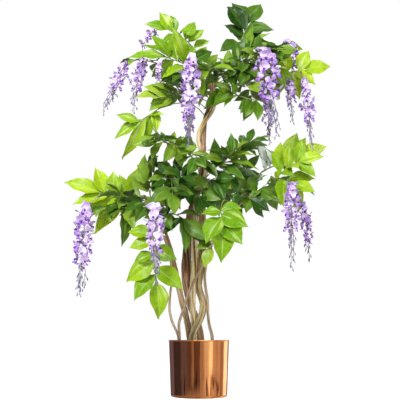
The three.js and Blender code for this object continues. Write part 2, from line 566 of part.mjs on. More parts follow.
function racemeSolid(raceme, twig) {
  const path = raceme.path.map(vector);
  const start = twig.curve.getPointAt(Math.min(0.97, nearestShare(twig.curve, path[0])));
  const curve = smoothCurve([start, ...path]);
  const first = start.distanceTo(path[0]) / curve.getLength();
  const stations = [[0, RACEME_STALK_RADIUS]];
  for (const [share, width] of RACEME_OUTLINE) {
    stations.push([first + (1 - first) * share, raceme.radius * width]);
  }
  return solidOf(tubeGeometry(curve, stations, RACEME_SIDES));
}

function solidFromFaces(points, faces) {
  const geometry = new THREE.BufferGeometry();
  geometry.setAttribute('position', new THREE.Float32BufferAttribute(points.flatMap((p) => p.toArray()), 3));
  geometry.setIndex(faces.flat());
  return solidOf(geometry);
}

// The outer points of a leaflet, a thin folded blade with a sharp edge: two on its right edge, its end,
// two on its left edge, then the middle of its upper and of its lower side
function bladePoints(base, tip, face, [sideways, up, roll, scale]) {
  const forward = tip.clone().sub(base);
  const length = forward.length() * scale;
  forward.normalize();
  const above = face.clone().addScaledVector(forward, -face.dot(forward)).normalize();
  const side = forward.clone().cross(above);
  const turn = new THREE.Matrix4().makeBasis(side, forward, above);
  turn.multiply(new THREE.Matrix4().makeRotationZ(radians(sideways)));
  turn.multiply(new THREE.Matrix4().makeRotationX(radians(up)));
  turn.multiply(new THREE.Matrix4().makeRotationY(radians(roll)));
  turn.setPosition(base);
  const half = 0.5 * LEAFLET_ASPECT * Math.min(length, LEAFLET_LENGTH * LONGEST_WIDE);
  const shoulder = LEAFLET_SHOULDER_WIDTH * half;
  const fold = LEAFLET_FOLD * length;
  return [
    [half, LEAFLET_WIDEST * length, fold],
    [shoulder, LEAFLET_SHOULDER * length, fold],
    [0, length, -LEAFLET_DROOP * length],
    [-shoulder, LEAFLET_SHOULDER * length, fold],
    [-half, LEAFLET_WIDEST * length, fold],
    [0, LEAFLET_CROWN * length, LEAFLET_HALF_THICKNESS],
    [0, LEAFLET_CROWN * length, -LEAFLET_HALF_THICKNESS],
  ].map((point) => vector(point).applyMatrix4(turn));
}

// Faces of a blade whose outer points start at the index first, on a base of one point or of four:
// lower right, lower left, upper left, upper right
function bladeFaces(base, first) {
  const [r1, r2, end, l2, l1, crown, keel] = [0, 1, 2, 3, 4, 5, 6].map((step) => first + step);
  const [lowRight, lowLeft, highLeft, highRight] = base.length === 4 ? base : Array(4).fill(base[0]);
  const edge = [r1, r2, end, l2, l1];
  const faces = [[highRight, r1, crown], [l1, highLeft, crown], [r1, lowRight, keel], [lowLeft, l1, keel]];
  for (let i = 1; i < edge.length; i += 1) {
    faces.push([edge[i - 1], edge[i], crown], [edge[i], edge[i - 1], keel]);
  }
  if (base.length === 4) {
    faces.push([highLeft, highRight, crown], [lowRight, lowLeft, keel]);
    faces.push([lowRight, r1, highRight], [highLeft, l1, lowLeft]);
  }
  return faces;
}

// A leaflet that is joined to a twig at one point, in the first turn that is clear of its neighbours
function twigLeaflet(base, tip, face, neighbours) {
  for (const turn of LEAFLET_TURNS) {
    const leaflet = solidFromFaces([base, ...bladePoints(base, tip, face, turn)], bladeFaces([0], 1));
    if (isClear(leaflet, neighbours)) return leaflet;
  }
  return null;
}

const quad = ([a, b, c, d]) => [[a, b, c], [a, c, d]];

// A square stalk along a curve, as points and faces, with the four-cornered places where leaflets grow:
// its end, and both sides at each pair
function stalkShape(curve, face) {
  const length = curve.getLength();
  const shares = [0];
  for (let pair = PAIRS - 1; pair >= 0; pair -= 1) {
    const middle = length - LAST_PAIR - PAIR_STEP * pair;
    shares.push((middle - BUD_HALF_LENGTH) / length, (middle + BUD_HALF_LENGTH) / length);
  }
  shares.push(1);
  const points = [];
  for (const share of shares) {
    const forward = curve.getTangentAt(share);
    const side = forward.clone().cross(face).normalize().multiplyScalar(STALK_HALF_WIDTH);
    const above = side.clone().cross(forward);
    for (const [right, high] of [[1, 1], [-1, 1], [-1, -1], [1, -1]]) {
      points.push(curve.getPointAt(share).addScaledVector(side, right).addScaledVector(above, high));
    }
  }
  const last = points.length - 4;
  const plain = [[0, 1, 2, 3]];
  const buds = [{ corners: [last + 3, last + 2, last + 1, last], share: 1, side: 0, pair: 0 }];
  for (let ring = 0; ring < shares.length - 1; ring += 1) {
    const [n0, n1, n2, n3, f0, f1, f2, f3] = [0, 1, 2, 3, 4, 5, 6, 7].map((step) => 4 * ring + step);
    plain.push([n1, n0, f0, f1], [n3, n2, f2, f3]);
    const sides = [[n3, f3, f0, n0], [f2, n2, n1, f1]];
    if (ring % 2 === 0) {
      plain.push(...sides);
    } else {
      const pair = PAIRS - (ring + 1) / 2;
      const share = (shares[ring] + shares[ring + 1]) / 2;
      buds.push({ corners: sides[0], share, side: -1, pair }, { corners: sides[1], share, side: 1, pair });
    }
  }
  return { points, plain, buds };
}

// A side leaf: its stalk with a leaflet grown at each bud that has room for one
function sideLeaf(curve, face, seed, neighbours) {
  const { points, plain, buds } = stalkShape(curve, face);
  const faces = plain.flatMap(quad);
  const stalk = solidFromFaces(points, faces.concat(buds.flatMap((bud) => quad(bud.corners))));
  const leaflets = [];
  buds.forEach(({ corners, share, side, pair }, count) => {
    const loop = corners.map((index) => points[index]);
    const base = loop.reduce((sum, corner) => sum.add(corner), new THREE.Vector3()).divideScalar(4);
    const angle = side * (PAIR_ANGLE + PAIR_ANGLE_STEP * pair) + PAIR_ANGLE_SPREAD * vary(seed + count);
    const direction = curve.getTangentAt(share).applyAxisAngle(face, radians(angle));
    direction.z -= PAIR_SAG + PAIR_SAG_SPREAD * vary(seed + 5 * count);
    const size = LEAFLET_LENGTH * (1 + LEAFLET_LENGTH_SPREAD * vary(seed + 3 * count));
    const tip = base.clone().addScaledVector(direction.normalize(), size);
    for (const turn of LEAFLET_TURNS) {
      const blade = bladePoints(base, tip, face, turn);
      const closed = bladeFaces([0, 1, 2, 3], 4).concat(quad([0, 3, 2, 1]));
      const leaflet = solidFromFaces([...loop, ...blade], closed);
      const clear = isClear(leaflet, neighbours) && isClear(leaflet, leaflets);
      if (clear && leaflet.intersect(stalk).volume() < TOUCHING_VOLUME) {
        leaflets.push(leaflet);
        faces.push(...bladeFaces(corners, points.length));
        points.push(...blade);
        return;
      }
    }
    faces.push(...quad(corners));
  });
  return { solid: solidFromFaces(points, faces), leaflets };
}

function sideStalk(spray, face, twig, count, neighbours) {
  const along = STALKS_FROM - STALKS_SPAN * ((count + 0.5) / spray.side_leaves);
  const base = twig.curve.getPointAt(along);
  const forward = twig.curve.getTangentAt(along);
  const side = count % 2 === 0 ? 1 : -1;
  for (const [more, up] of STALK_TURNS) {
    const direction = forward.clone().applyAxisAngle(face, side * radians(STALK_ANGLE + more));
    direction.addScaledVector(face, Math.sin(radians(up))).normalize();
    const bend = base.clone().addScaledVector(direction, 0.5 * STALK_LENGTH);
    const end = base.clone().addScaledVector(direction, STALK_LENGTH);
    end.z -= STALK_SAG;
    const curve = smoothCurve([base, bend, end]);
    const { points, plain, buds } = stalkShape(curve, face);
    const solid = solidFromFaces(points, plain.concat(buds.map((bud) => bud.corners)).flatMap(quad));
    if (isClear(solid, neighbours)) return { curve, solid };
  }
  return null;
}

function addMesh(group, name, solid, colour, roughness, metalness = 0) {
  const material = new THREE.MeshStandardMaterial({ color: COLOURS[colour], roughness, metalness });
  const mesh = new THREE.Mesh(geometryOf(solid), material);
  mesh.name = name;
  group.add(mesh);
}

const stems = {};
for (const [name, stem] of Object.entries(STEMS)) {
  const made = stemBar(stem);
  made.solid = cutRoom(made.solid, Object.values(stems));
  stems[name] = made;
}
const stemBars = Object.values(stems);

const twigs = {};
for (const spray of SPRAYS) {
  const made = twigBar(spray, stems[spray.stem]);
  made.solid = cutRoom(made.solid, [...stemBars, ...Object.values(twigs)]);
  twigs[spray.name] = made;
}
const twigBars = Object.values(twigs);

const racemes = {};
for (const raceme of RACEMES) {
  const solid = racemeSolid(raceme, twigs[raceme.spray]);
  racemes[raceme.name] = cutRoom(solid, [...twigBars, ...stemBars]);
}

const placed = [...stemBars, ...twigBars].map((made) => made.solid).concat(Object.values(racemes));
const sprays = {};
for (const spray of SPRAYS) {
  const twig = twigs[spray.name];
  const others = placed.filter((solid) => solid !== twig.solid);
  const pieces = [twig.solid];
  spray.tips.map(vector).forEach((tip, count) => {
    const fromEnd = FIRST_LEAFLET + spray.step * count;
    const along = Math.max(LAST_LEAFLET_SHARE, 1 - fromEnd / twig.curve.getLength());
    const base = twig.curve.getPointAt(along);
    base.addScaledVector(tip.clone().sub(base).normalize(), -LEAFLET_SUNK);
    const leaflet = twigLeaflet(base, tip, vector(spray.face).normalize(), others);
    if (leaflet === null) return;
    pieces.push(leaflet);
    others.push(leaflet);
    placed.push(leaflet);
  });
  sprays[spray.name] = pieces;
}

SPRAYS.forEach((spray, order) => {
  const twig = twigs[spray.name];
  const pieces = sprays[spray.name];
  const face = vector(spray.side_face ?? spray.face).normalize();
  for (let count = 0; count < spray.side_leaves; count += 1) {
    const others = placed.filter((solid) => solid !== twig.solid);
    const stalk = sideStalk(spray, face, twig, count, others);
    if (stalk === null) continue;
    others.push(twig.solid);
    const leaf = sideLeaf(stalk.curve, face, 31 * order + 11 * count, others);
    pieces.push(leaf.solid);
    placed.push(...leaf.leaflets);
    placed.push(stalk.solid);
  }
});

const tree = new THREE.Group();
const planter = new THREE.Group();
const wood = new THREE.Group();
const foliage = new THREE.Group();
const flowers = new THREE.Group();
tree.add(planter, wood, foliage, flowers);

addMesh(planter, 'pot', potSolid(), 'copper', 0.15, 1);
addMesh(planter, 'pot_fill', fillSolid(stemBars), 'fill', 0.9);
addMesh(planter, 'moss', mossSolid(stemBars), 'moss', 0.95);
for (const [name, stem] of Object.entries(STEMS)) {
  addMesh(wood, name, stems[name].solid, stem.colour, 0.8);
}
for (const spray of SPRAYS) {
  addMesh(foliage, spray.name, largestPiece(joined(sprays[spray.name])), spray.tone, 0.5);
}
for (const raceme of RACEMES) {
  addMesh(flowers, raceme.name, racemes[raceme.name], 'lilac', 0.7);
}

export default tree;
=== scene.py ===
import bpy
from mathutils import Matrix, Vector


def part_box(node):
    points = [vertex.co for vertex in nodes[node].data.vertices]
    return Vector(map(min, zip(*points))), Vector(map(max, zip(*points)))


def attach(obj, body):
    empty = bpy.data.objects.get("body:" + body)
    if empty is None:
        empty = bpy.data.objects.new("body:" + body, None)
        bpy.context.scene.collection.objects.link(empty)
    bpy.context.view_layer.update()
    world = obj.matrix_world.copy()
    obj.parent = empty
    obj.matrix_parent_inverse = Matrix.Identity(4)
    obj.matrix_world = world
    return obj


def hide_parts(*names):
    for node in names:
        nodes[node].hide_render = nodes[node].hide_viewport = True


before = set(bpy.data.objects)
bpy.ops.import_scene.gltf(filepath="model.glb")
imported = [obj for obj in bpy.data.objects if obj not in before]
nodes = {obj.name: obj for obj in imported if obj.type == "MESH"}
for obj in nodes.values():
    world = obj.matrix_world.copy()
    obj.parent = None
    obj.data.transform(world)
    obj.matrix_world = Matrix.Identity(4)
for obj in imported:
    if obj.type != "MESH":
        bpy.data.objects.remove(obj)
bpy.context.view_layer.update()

import itertools
import math
import zlib

import bmesh
import bpy
import numpy as np
from mathutils import Vector, noise

# A wisteria tree with two tiers of leaves, in a polished copper pot. Metres, +Z up, -Y is the front.

# Camera: eye level with the pot's rim, looking a little upwards
CAMERA_PLACE = (0.0036, -2.23, 0.19)
CAMERA_PITCH = 12.72
CAMERA_LENS = 55.8
SENSOR = 36.0

# Where a spray's leaflets lie in its range of greens, from deep (0) to fresh (1): the lowest and the spread
# by slot, and the lowest of single sprays
FRESHNESS = {"leaf_lime": (0.25, 0.35), "leaf_green": (0.2, 0.6), "leaf_dark": (0.08, 0.62)}
FRESH = dict(
    hanging_front=0.0, lower_left_front=0.12, middle_left=0.26, upper_left=0.1, upper_left_crown=0.0,
    lower_left_tip=0.42, lower_right_tip=0.5, lower_right_low=0.28, upper_right_tip=0.65,
    upper_left_low=0.68, upper_hanging=0.3, upper_front_left=0.15, lower_front_low=0.45,
    upper_right_low=0.52, upper_front_right=0.5, upper_right_back=0.35, upper_centre=0.06,
    upper_back_left=0.85, upper_back_right=0.8, lower_left_rise=0.74, lower_left_low=0.4,
    lower_left_inner=0.22, lower_left_under=0.14, lower_centre_crown=0.1, lower_back_centre=0.5,
    lower_centre_front=0.18, lower_back_right=0.4, lower_right_side=0.55,
)
# How leaflets gather at the two ends of that spread: 1 is evenly spread, 0 is at the ends only
UNEVEN = 0.4

# How much wider than its node a leaflet is, in most sprays and in single ones
LEAF_WIDER = 1.1
WIDER = dict(
    hanging_front=1.3, top_right=1.5, lower_left_front=1.2, upper_left=0.95, upper_left_crown=1.0,
    middle_left=0.8, lower_right_tip=1.15, upper_centre=0.85, upper_front_right=0.9, upper_front_left=0.9,
    upper_back_left=0.9, upper_back_right=0.9, upper_back_centre=0.9, lower_centre_crown=0.85,
    lower_left_crown=0.95, lower_left_inner=0.9, lower_back_left=0.85, lower_back_centre=0.85,
    lower_back_right=0.85, lower_left_low=0.9, lower_left_under=0.95,
)
# How far a leaflet may roll about its own length, by slot, and in the one spray that lies flatter
LEAF_ROLL = {"leaf_lime": 0.3, "leaf_green": 0.65, "leaf_dark": 0.75, "top_right": 0.25}

# Leaflets painted pale as a painted highlight, for the glare on them, by their number in the spray: how wide
# they are, their place past the fresh greens, the spread and the roll
GLARE_LEAFLETS = {"lower_right_tip": (3, 4, 5), "lower_right_inner": (10,)}
GLARE_LOOKS = (0.7, 2.0, 0.0, 0.2)

# Leaflets: their mesh, their half width at shares of their length, the sizes of the blade, and how far it
# reaches into its stalk
LEAF_ROWS = 16
LEAF_COLUMNS = 9
LEAF_OUTLINE = ((0, 0.045), (0.045, 0.06), (0.09, 0.3), (0.17, 0.62), (0.28, 0.88), (0.4, 1.0), (0.52, 0.98),
                (0.64, 0.85), (0.76, 0.6), (0.86, 0.33), (0.93, 0.13), (1.0, 0.0))
LEAF_THICKNESS = 0.0005
MIDRIB_THICKNESS = 0.001
MIDRIB_DEPTH = 0.0007
VEIN_DEPTH = 0.0005
LEAF_SINK = 0.001

# The share of a CAD leaflet's length at which its crown lies, and what the corners at its tip stay under
CAD_CROWN = 0.33
CAD_TIP_ANGLE = math.radians(150)

# Rims of leaves and petals stay sharp
SHARP_ANGLE = math.radians(80)

# Stems: how closely a centre line is read, the radius of thick stems, and the knots in the bark, with their
# width in radians
STEM_STEP = 0.004
THICK_STEM = 0.007
KNOTS = 7
KNOT_WIDTH = 0.6
KNOT_LENGTH = 0.009

# Racemes: the size of their flowers, how pale they are, how far apart, the shares of the raceme's length
# from which and to which they are open, and how wide they stand
FLOWERS = (0.82, 0.35, 0.72, 0.0, 0.62, 1.05)
RACEMES = dict(
    # lower_front's flowers are the palest as painted light, for the sun falls on them at the front
    lower_left=(1.05, 0.45, 0.9, 0.18, 0.74, 1.0), lower_front=(1.06, 0.88, 1.1, 0.04, 0.6, 1.15),
    lower_right_inner=(0.92, 0.45, 0.68, 0.0, 0.62, 1.1),
    lower_right_outer=(0.9, 0.25, 0.8, 0.1, 0.7, 1.0), upper_centre=(1.1, 0.45, 0.85, 0.0, 0.68, 1.2),
    upper_right_front=(0.95, 0.32, 0.66, 0.0, 0.62, 1.35), upper_right_top=(1.0, 0.3, 0.6, 0.0, 0.7, 1.3),
    upper_left_outer=(0.82, 0.45, 0.75, 0.05, 0.62, 1.05),
    upper_left_inner=(0.88, 0.5, 0.68, 0.0, 0.62, 1.2), upper_left_small=(0.9, 0.4, 0.7, 0.0, 0.8, 1.2),
    upper_left_top=(1.4, 0.4, 2.2, 0.0, 0.8, 1.0), upper_right_outer=(0.86, 0.45, 0.75, 0.05, 0.6, 1.1),
)
RACEME_STEP = 0.003
RACEME_STALK = 0.0045
FULL_RACEME = 0.042
BANNER_RADIUS = 0.0185
FLOWER_STEP = 0.0082
FLOWER_SPREAD = (0.5, 1.1)
BUD_STEP = 0.0095
BUD_LENGTH = 0.0165
GOLDEN_TURN = math.radians(137.5)
RADIUS_PER_TAIL = 0.02
TAIL_POINTS = 7
DROP_PROFILE = ((0.0, 0.15), (0.15, 0.6), (0.45, 1.0), (0.75, 0.75), (0.95, 0.25), (1.0, 0.05))
BANNER_RINGS, BANNER_SPOKES = 4, 16
WING_RINGS, WING_SPOKES = 2, 10

# Pot: its round lower corner, its wall, the height and the half thickness of its rolled rim
POT_CORNER = 0.008
POT_WALL = 0.0015
RIM_HEIGHT = 0.0044
RIM_HALF = 0.0016
RIM_LIP = 0.003
POT_SPOKES = 128

# Moss: its mesh, how far its crown lies under the top of its node, and its tufts
MOSS_RINGS, MOSS_SPOKES = 40, 96
MOSS_UNDER_TOP = 0.004
MOSS_LUMP = 0.0035
MOSS_LUMPS_PER_METRE = 60
TUFTS = 900

UP = np.array([0.0, 0.0, 1.0])
FULL_TURN = 2 * math.pi

# The materials of a spray or a raceme, by their number
BLADE = PETAL = 0
STALK = 1

slots = {name: node.data.materials[0].name for name, node in nodes.items()}


def seeded(name):
    """A random generator that depends only on the name"""
    return np.random.default_rng(zlib.crc32(name.encode()))


def unit(v):
    return v / np.linalg.norm(v)


def across(forward, above):
    """The part of above that is square to forward, as a unit vector"""
    return unit(above - forward * np.dot(above, forward))


def framed(points, x, y, z):
    """Points given along three axes of their own"""
    return points[:, :1] * x + points[:, 1:2] * y + points[:, 2:] * z


def outwards(turn):
    return np.array([math.cos(turn), math.sin(turn), 0.0])


def round_angles(count):
    return np.linspace(0, FULL_TURN, count, endpoint=False)


def placed(name, data):
    """A new object in the scene"""
    made = bpy.data.objects.new(name, data)
    bpy.context.scene.collection.objects.link(made)
    return made


def merged_mesh(node):
    """A CAD node's mesh with its doubled points joined"""
    made = bmesh.new()
    made.from_mesh(nodes[node].data)
    bmesh.ops.remove_doubles(made, verts=made.verts, dist=1e-5)
    bmesh.ops.triangulate(made, faces=made.faces)
    made.verts.ensure_lookup_table()
    return made


class Shape:
    """Gathers the points, faces and point values of one piece"""

    def __init__(self):
        self.points, self.faces, self.materials, self.place, self.extra = [], [], [], [], []
        self.count = 0

    def add(self, points, faces, material=0, place=(0, 0, 0), extra=0.0):
        """Material is a number. Place, three numbers, and extra, one, are given once or for each point"""
        points = np.asarray(points, float).reshape(-1, 3)
        self.points.append(points)
        self.faces.extend([tuple(i + self.count for i in face) for face in faces])
        self.materials.extend([material] * len(faces))
        self.place.append(np.broadcast_to(np.asarray(place, float), (len(points), 3)))
        self.extra.append(np.broadcast_to(np.asarray(extra, float), (len(points),)))
        self.count += len(points)

    def piece(self, name, materials, node):
        """Makes the piece that stands in for a node"""
        mesh = bpy.data.meshes.new(name)
        mesh.from_pydata(np.concatenate(self.points).tolist(), [], self.faces)
        for layer, form, key, values in (("place", "FLOAT_VECTOR", "vector", self.place),
                                         ("extra", "FLOAT", "value", self.extra)):
            made = mesh.attributes.new(layer, form, "POINT")
            made.data.foreach_set(key, np.concatenate(values).ravel())
        for material in materials:
            mesh.materials.append(material)
        mesh.polygons.foreach_set("material_index", self.materials)
        mesh.polygons.foreach_set("use_smooth", [True] * len(mesh.polygons))
        mesh.update()
        mesh.set_sharp_from_angle(angle=SHARP_ANGLE)
        made = placed(name, mesh)
        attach(made, "root")
        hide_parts(node)


# ---------------- materials


class Nodes:
    """Short ways to add and link the nodes of one material or world"""

    def __init__(self, owner):
        owner.use_nodes = True
        self.owner = owner
        self.tree = owner.node_tree
        self.shader = self.tree.nodes.get("Principled BSDF")

    def add(self, kind, *values, **settings):
        """A new node with its settings, and with numbers or links for its first inputs"""
        node = self.tree.nodes.new("ShaderNode" + kind)
        for key, value in settings.items():
            setattr(node, key, value)
        for socket, value in zip(node.inputs, values):
            self.feed(socket, value)
        return node

    def feed(self, socket, value):
        if isinstance(value, bpy.types.NodeSocket):
            self.tree.links.new(value, socket)
        elif value is not None:
            socket.default_value = value

    def where(self):
        """The place in the piece, in metres"""
        return self.add("TexCoord").outputs["Object"]

    def read(self, name, vector=True):
        return self.add("Attribute", attribute_name=name).outputs["Vector" if vector else "Fac"]

    def split(self, vector):
        return self.add("SeparateXYZ", vector).outputs[:3]

    def math(self, operation, a, b=None):
        return self.add("Math", a, b, operation=operation).outputs[0]

    def stretch(self, vector, scale):
        return self.add("VectorMath", vector, scale, operation="MULTIPLY").outputs[0]

    def noise(self, vector, scale, detail=4.0, roughness=0.55):
        return self.add("TexNoise", vector, None, scale, detail, roughness).outputs["Fac"]

    def between(self, value, low, high, out_low=0.0, out_high=1.0):
        return self.add("MapRange", value, low, high, out_low, out_high).outputs[0]

    def ramp(self, value, stops):
        node = self.add("ValToRGB", value)
        elements = node.color_ramp.elements
        while len(elements) < len(stops):
            elements.new(0.5)
        for element, (place, colour) in zip(elements, stops):
            element.position = place
            element.color = (*colour, 1.0)
        return node.outputs["Color"]

    def mix(self, share, a, b, kind="MIX"):
        node = self.add("Mix", share, data_type="RGBA", blend_type=kind)
        for socket, value in ((node.inputs[6], a), (node.inputs[7], b)):
            self.feed(socket, (*value, 1.0) if isinstance(value, tuple) else value)
        return node.outputs[2]

    def tint(self, share, colour, factor):
        """A colour multiplied by a factor, as far as share says"""
        return self.mix(share, colour, self.mix(1.0, colour, factor, "MULTIPLY"))

    def bump(self, height, strength, distance):
        node = self.add("Bump", strength, distance)
        self.feed(node.inputs["Height"], height)
        self.feed(self.shader.inputs["Normal"], node.outputs[0])

    def finish(self, colour, roughness, specular=0.5, **constants):
        self.feed(self.shader.inputs["Base Color"], colour)
        self.feed(self.shader.inputs["Roughness"], roughness)
        self.shader.inputs["Specular IOR Level"].default_value = specular
        for key, value in constants.items():
            self.shader.inputs[key.replace("_", " ")].default_value = value
        return self.owner


def new_material(name):
    return Nodes(bpy.data.materials.new(name))


def leaf_material(name, shades, vein, under, painted_sheen):
    """Place is across, along and which of the shades, extra is 1 on the under side"""
    n = new_material(name)
    place = n.read("place")
    over, along, own = n.split(place)
    side = n.math("ABSOLUTE", over)
    where = n.where()
    colour = n.ramp(own, [(i / (len(shades) - 1), shade) for i, shade in enumerate(shades)])
    mottle = n.noise(where, 45.0, 3.0)
    colour = n.tint(n.between(mottle, 0.35, 0.7, 0.0, 0.7), colour, (0.5, 0.68, 0.5))
    # the base of each leaflet is deeper, partly as its own print and partly as painted shade; one half is
    # deeper as the painted shade of its fold, and the edges are fresher
    colour = n.tint(n.between(along, 0.0, 0.4, 0.45, 0.0), colour, (0.5, 0.66, 0.45))
    colour = n.tint(n.between(over, -0.1, 0.1, 0.0, 0.3), colour, (0.68, 0.82, 0.7))
    colour = n.tint(n.between(side, 0.45, 1.0, 0.0, 0.3), colour, (1.3, 1.14, 1.0))
    # painted sheen: broad pale satin streaks, standing in for highlights, run along some of the leaflets
    streak = n.noise(n.stretch(place, (1.6, 0.9, 60.0)), 1.0, 2.0)
    colour = n.mix(n.between(streak, 0.54, 0.7, 0.0, 0.6), colour, painted_sheen)
    # side veins leave the midrib at a slant, as the rows of the mesh do
    wave = n.math("PINGPONG", n.math("MULTIPLY", along, LEAF_ROWS / 2), 0.5)
    sides = n.between(wave, 0.0, 0.12, 0.3, 0.0)
    inside = n.between(side, 0.7, 0.95, 1.0, 0.0)
    midrib = n.between(side, 0.02, 0.07, 1.0, 0.0)
    veins = n.math("MAXIMUM", midrib, n.math("MULTIPLY", sides, inside))
    colour = n.mix(n.math("MULTIPLY", veins, 0.45), colour, vein)
    colour = n.tint(n.between(along, 0.93, 1.0, 0.0, 0.55), colour, (0.55, 0.6, 0.5))
    colour = n.mix(n.math("MULTIPLY", n.read("extra", False), 0.75), colour, under)
    # painted highlight: the glare on some leaflets is painted pale in their middle, and they stay green
    # along their rims
    blotched = n.math("ADD", side, n.between(n.noise(where, 70.0, 3.0), 0.3, 0.7, -0.3, 0.3))
    painted_glare = n.mix(n.between(blotched, 0.6, 0.9), (0.9, 0.95, 0.88), (0.1, 0.22, 0.07))
    colour = n.mix(n.between(own, 1.2, 1.6), colour, painted_glare)
    fine = n.noise(where, 420.0, 2.0)
    height = n.math("ADD", n.math("MULTIPLY", veins, -0.6), n.math("MULTIPLY", fine, 0.25))
    n.bump(height, 0.35, 0.0006)
    return n.finish(colour, n.between(mottle, 0.3, 0.8, 0.3, 0.42), 0.2)


def stalk_material(name, green, brown):
    n = new_material(name)
    where = n.where()
    colour = n.ramp(n.noise(where, 22.0, 3.0), [(0.38, green), (0.62, brown)])
    fine = n.noise(n.stretch(where, (1.0, 1.0, 0.3)), 500.0, 3.0)
    colour = n.tint(n.between(fine, 0.4, 0.7, 0.0, 0.4), colour, (0.5, 0.5, 0.45))
    n.bump(fine, 0.4, 0.0005)
    return n.finish(colour, n.between(fine, 0.3, 0.7, 0.55, 0.75), 0.35)


def bark_material(name, groove, middle, ridge, fresh):
    """Place is the bar straightened out, extra is the height of its relief"""
    n = new_material(name)
    place = n.read("place")
    relief = n.read("extra", False)
    grain = n.noise(n.stretch(place, (1.0, 1.0, 0.045)), 330.0, 6.0, 0.65)
    patch = n.noise(n.stretch(place, (1.0, 1.0, 0.35)), 26.0, 4.0)
    fibre = n.noise(n.stretch(place, (1.0, 1.0, 0.02)), 900.0, 3.0)
    height = n.math("ADD", n.math("MULTIPLY", relief, 0.75), n.math("MULTIPLY", grain, 0.55))
    # the lower the bark stands, the darker it is: partly the bark's own colour, partly painted shade in its
    # grooves
    colour = n.ramp(height, [(0.42, groove), (0.62, middle), (0.82, ridge)])
    fresher = n.mix(1.0, fresh, colour, "OVERLAY")
    colour = n.mix(n.between(patch, 0.48, 0.62, 0.0, 0.55), colour, fresher)
    colour = n.tint(n.between(fibre, 0.5, 0.7, 0.0, 0.6), colour, (0.42, 0.38, 0.33))
    n.bump(n.math("ADD", grain, n.math("MULTIPLY", fibre, 0.5)), 0.7, 0.002)
    return n.finish(colour, n.between(grain, 0.3, 0.7, 0.78, 0.6), 0.3)


# Kinds of petal, as a value of their points
BANNER, WING, KEEL, BUD = 0.0, 0.4, 0.7, 1.0


def petal_material(name):
    """Place is height in the petal, kind and flower, extra is how far out"""
    n = new_material(name)
    high, kind, own = n.split(n.read("place"))
    out = n.read("extra", False)
    where = n.where()
    banner = n.ramp(high, [(0.0, (0.26, 0.1, 0.5)), (0.25, (0.42, 0.22, 0.7)), (0.48, (0.82, 0.7, 0.88)),
                           (0.72, (0.64, 0.45, 0.85)), (1.0, (0.48, 0.27, 0.76))])
    wing = n.ramp(high, [(0.0, (0.74, 0.56, 0.86)), (0.5, (0.52, 0.27, 0.76)), (1.0, (0.3, 0.1, 0.56))])
    keel = n.ramp(high, [(0.0, (0.05, 0.01, 0.16)), (0.7, (0.1, 0.025, 0.28)), (1.0, (0.26, 0.1, 0.48))])
    bud = n.ramp(high, [(0.0, (0.3, 0.3, 0.22)), (0.25, (0.24, 0.19, 0.36)), (1.0, (0.16, 0.11, 0.32))])
    banner = n.mix(n.between(out, 0.7, 1.0, 0.0, 0.6), banner, (0.86, 0.78, 0.92))
    colour = n.mix(n.between(kind, BANNER + 0.15, WING - 0.15), banner, wing)
    # some flowers are nearly white, some are deep lilac, and patches are pink
    pale = n.mix(0.62, colour, (0.92, 0.86, 0.93))
    deep = n.mix(1.0, colour, (0.62, 0.46, 0.86), "MULTIPLY")
    colour = n.mix(n.between(own, 0.0, 0.5, 1.0, 0.0), colour, pale)
    colour = n.mix(n.between(own, 0.6, 1.0, 0.0, 0.8), colour, deep)
    pink = n.noise(where, 90.0, 2.0)
    colour = n.tint(n.between(pink, 0.55, 0.68, 0.0, 0.45), colour, (1.0, 0.62, 0.86))
    colour = n.mix(n.between(kind, WING + 0.1, KEEL - 0.1), colour, keel)
    colour = n.mix(n.between(kind, KEEL + 0.1, BUD - 0.1), colour, bud)
    blot = n.noise(where, 190.0, 2.0)
    colour = n.tint(n.between(blot, 0.56, 0.64, 0.0, 0.6), colour, (0.4, 0.26, 0.72))
    streak = n.noise(where, 420.0, 3.0)
    colour = n.tint(n.between(streak, 0.45, 0.7, 0.0, 0.25), colour, (0.7, 0.6, 0.88))
    n.bump(streak, 0.25, 0.0005)
    rough = n.between(streak, 0.3, 0.7, 0.5, 0.66)
    return n.finish(colour, rough, 0.3, Sheen_Weight=0.1, Sheen_Roughness=0.5)


def copper_material():
    n = new_material("polished_copper")
    where = n.where()
    smudge = n.noise(where, 14.0, 3.0)
    lines = n.noise(n.stretch(where, (1.0, 1.0, 40.0)), 16.0, 4.0)
    colour = n.mix(n.between(smudge, 0.35, 0.7), (0.95, 0.43, 0.165), (0.9, 0.36, 0.13))
    colour = n.mix(n.between(lines, 0.45, 0.75, 0.0, 0.2), colour, (0.78, 0.29, 0.1))
    rough = n.math("ADD", n.between(smudge, 0.3, 0.75, 0.02, 0.04), n.between(lines, 0.4, 0.8, 0.0, 0.015))
    # the rolled rim is duller, so that the lamps leave no glints on it
    rough = n.math("ADD", rough, n.between(n.split(where)[2], 0.185, 0.187, 0.0, 0.35))
    n.bump(lines, 0.02, 0.0004)
    return n.finish(colour, rough, Metallic=1.0)


def moss_material():
    n = new_material("dry_moss")
    where = n.where()
    coarse = n.noise(where, 60.0, 5.0)
    fine = n.noise(where, 420.0, 4.0)
    deep, middle, pale = (0.05, 0.06, 0.02), (0.16, 0.19, 0.07), (0.33, 0.36, 0.17)
    colour = n.ramp(coarse, [(0.3, deep), (0.5, middle), (0.7, pale)])
    colour = n.mix(n.between(fine, 0.4, 0.7, 0.0, 0.6), colour, (0.42, 0.43, 0.26))
    n.bump(fine, 0.8, 0.0015)
    return n.finish(colour, n.between(fine, 0.3, 0.7, 0.85, 0.98), 0.15)


def mortar_material():
    n = new_material("pot_mortar")
    fine = n.noise(n.where(), 180.0, 6.0)
    colour = n.ramp(fine, [(0.35, (0.09, 0.085, 0.08)), (0.6, (0.2, 0.19, 0.175))])
    n.bump(fine, 0.7, 0.002)
    return n.finish(colour, n.between(fine, 0.3, 0.7, 0.85, 0.97))
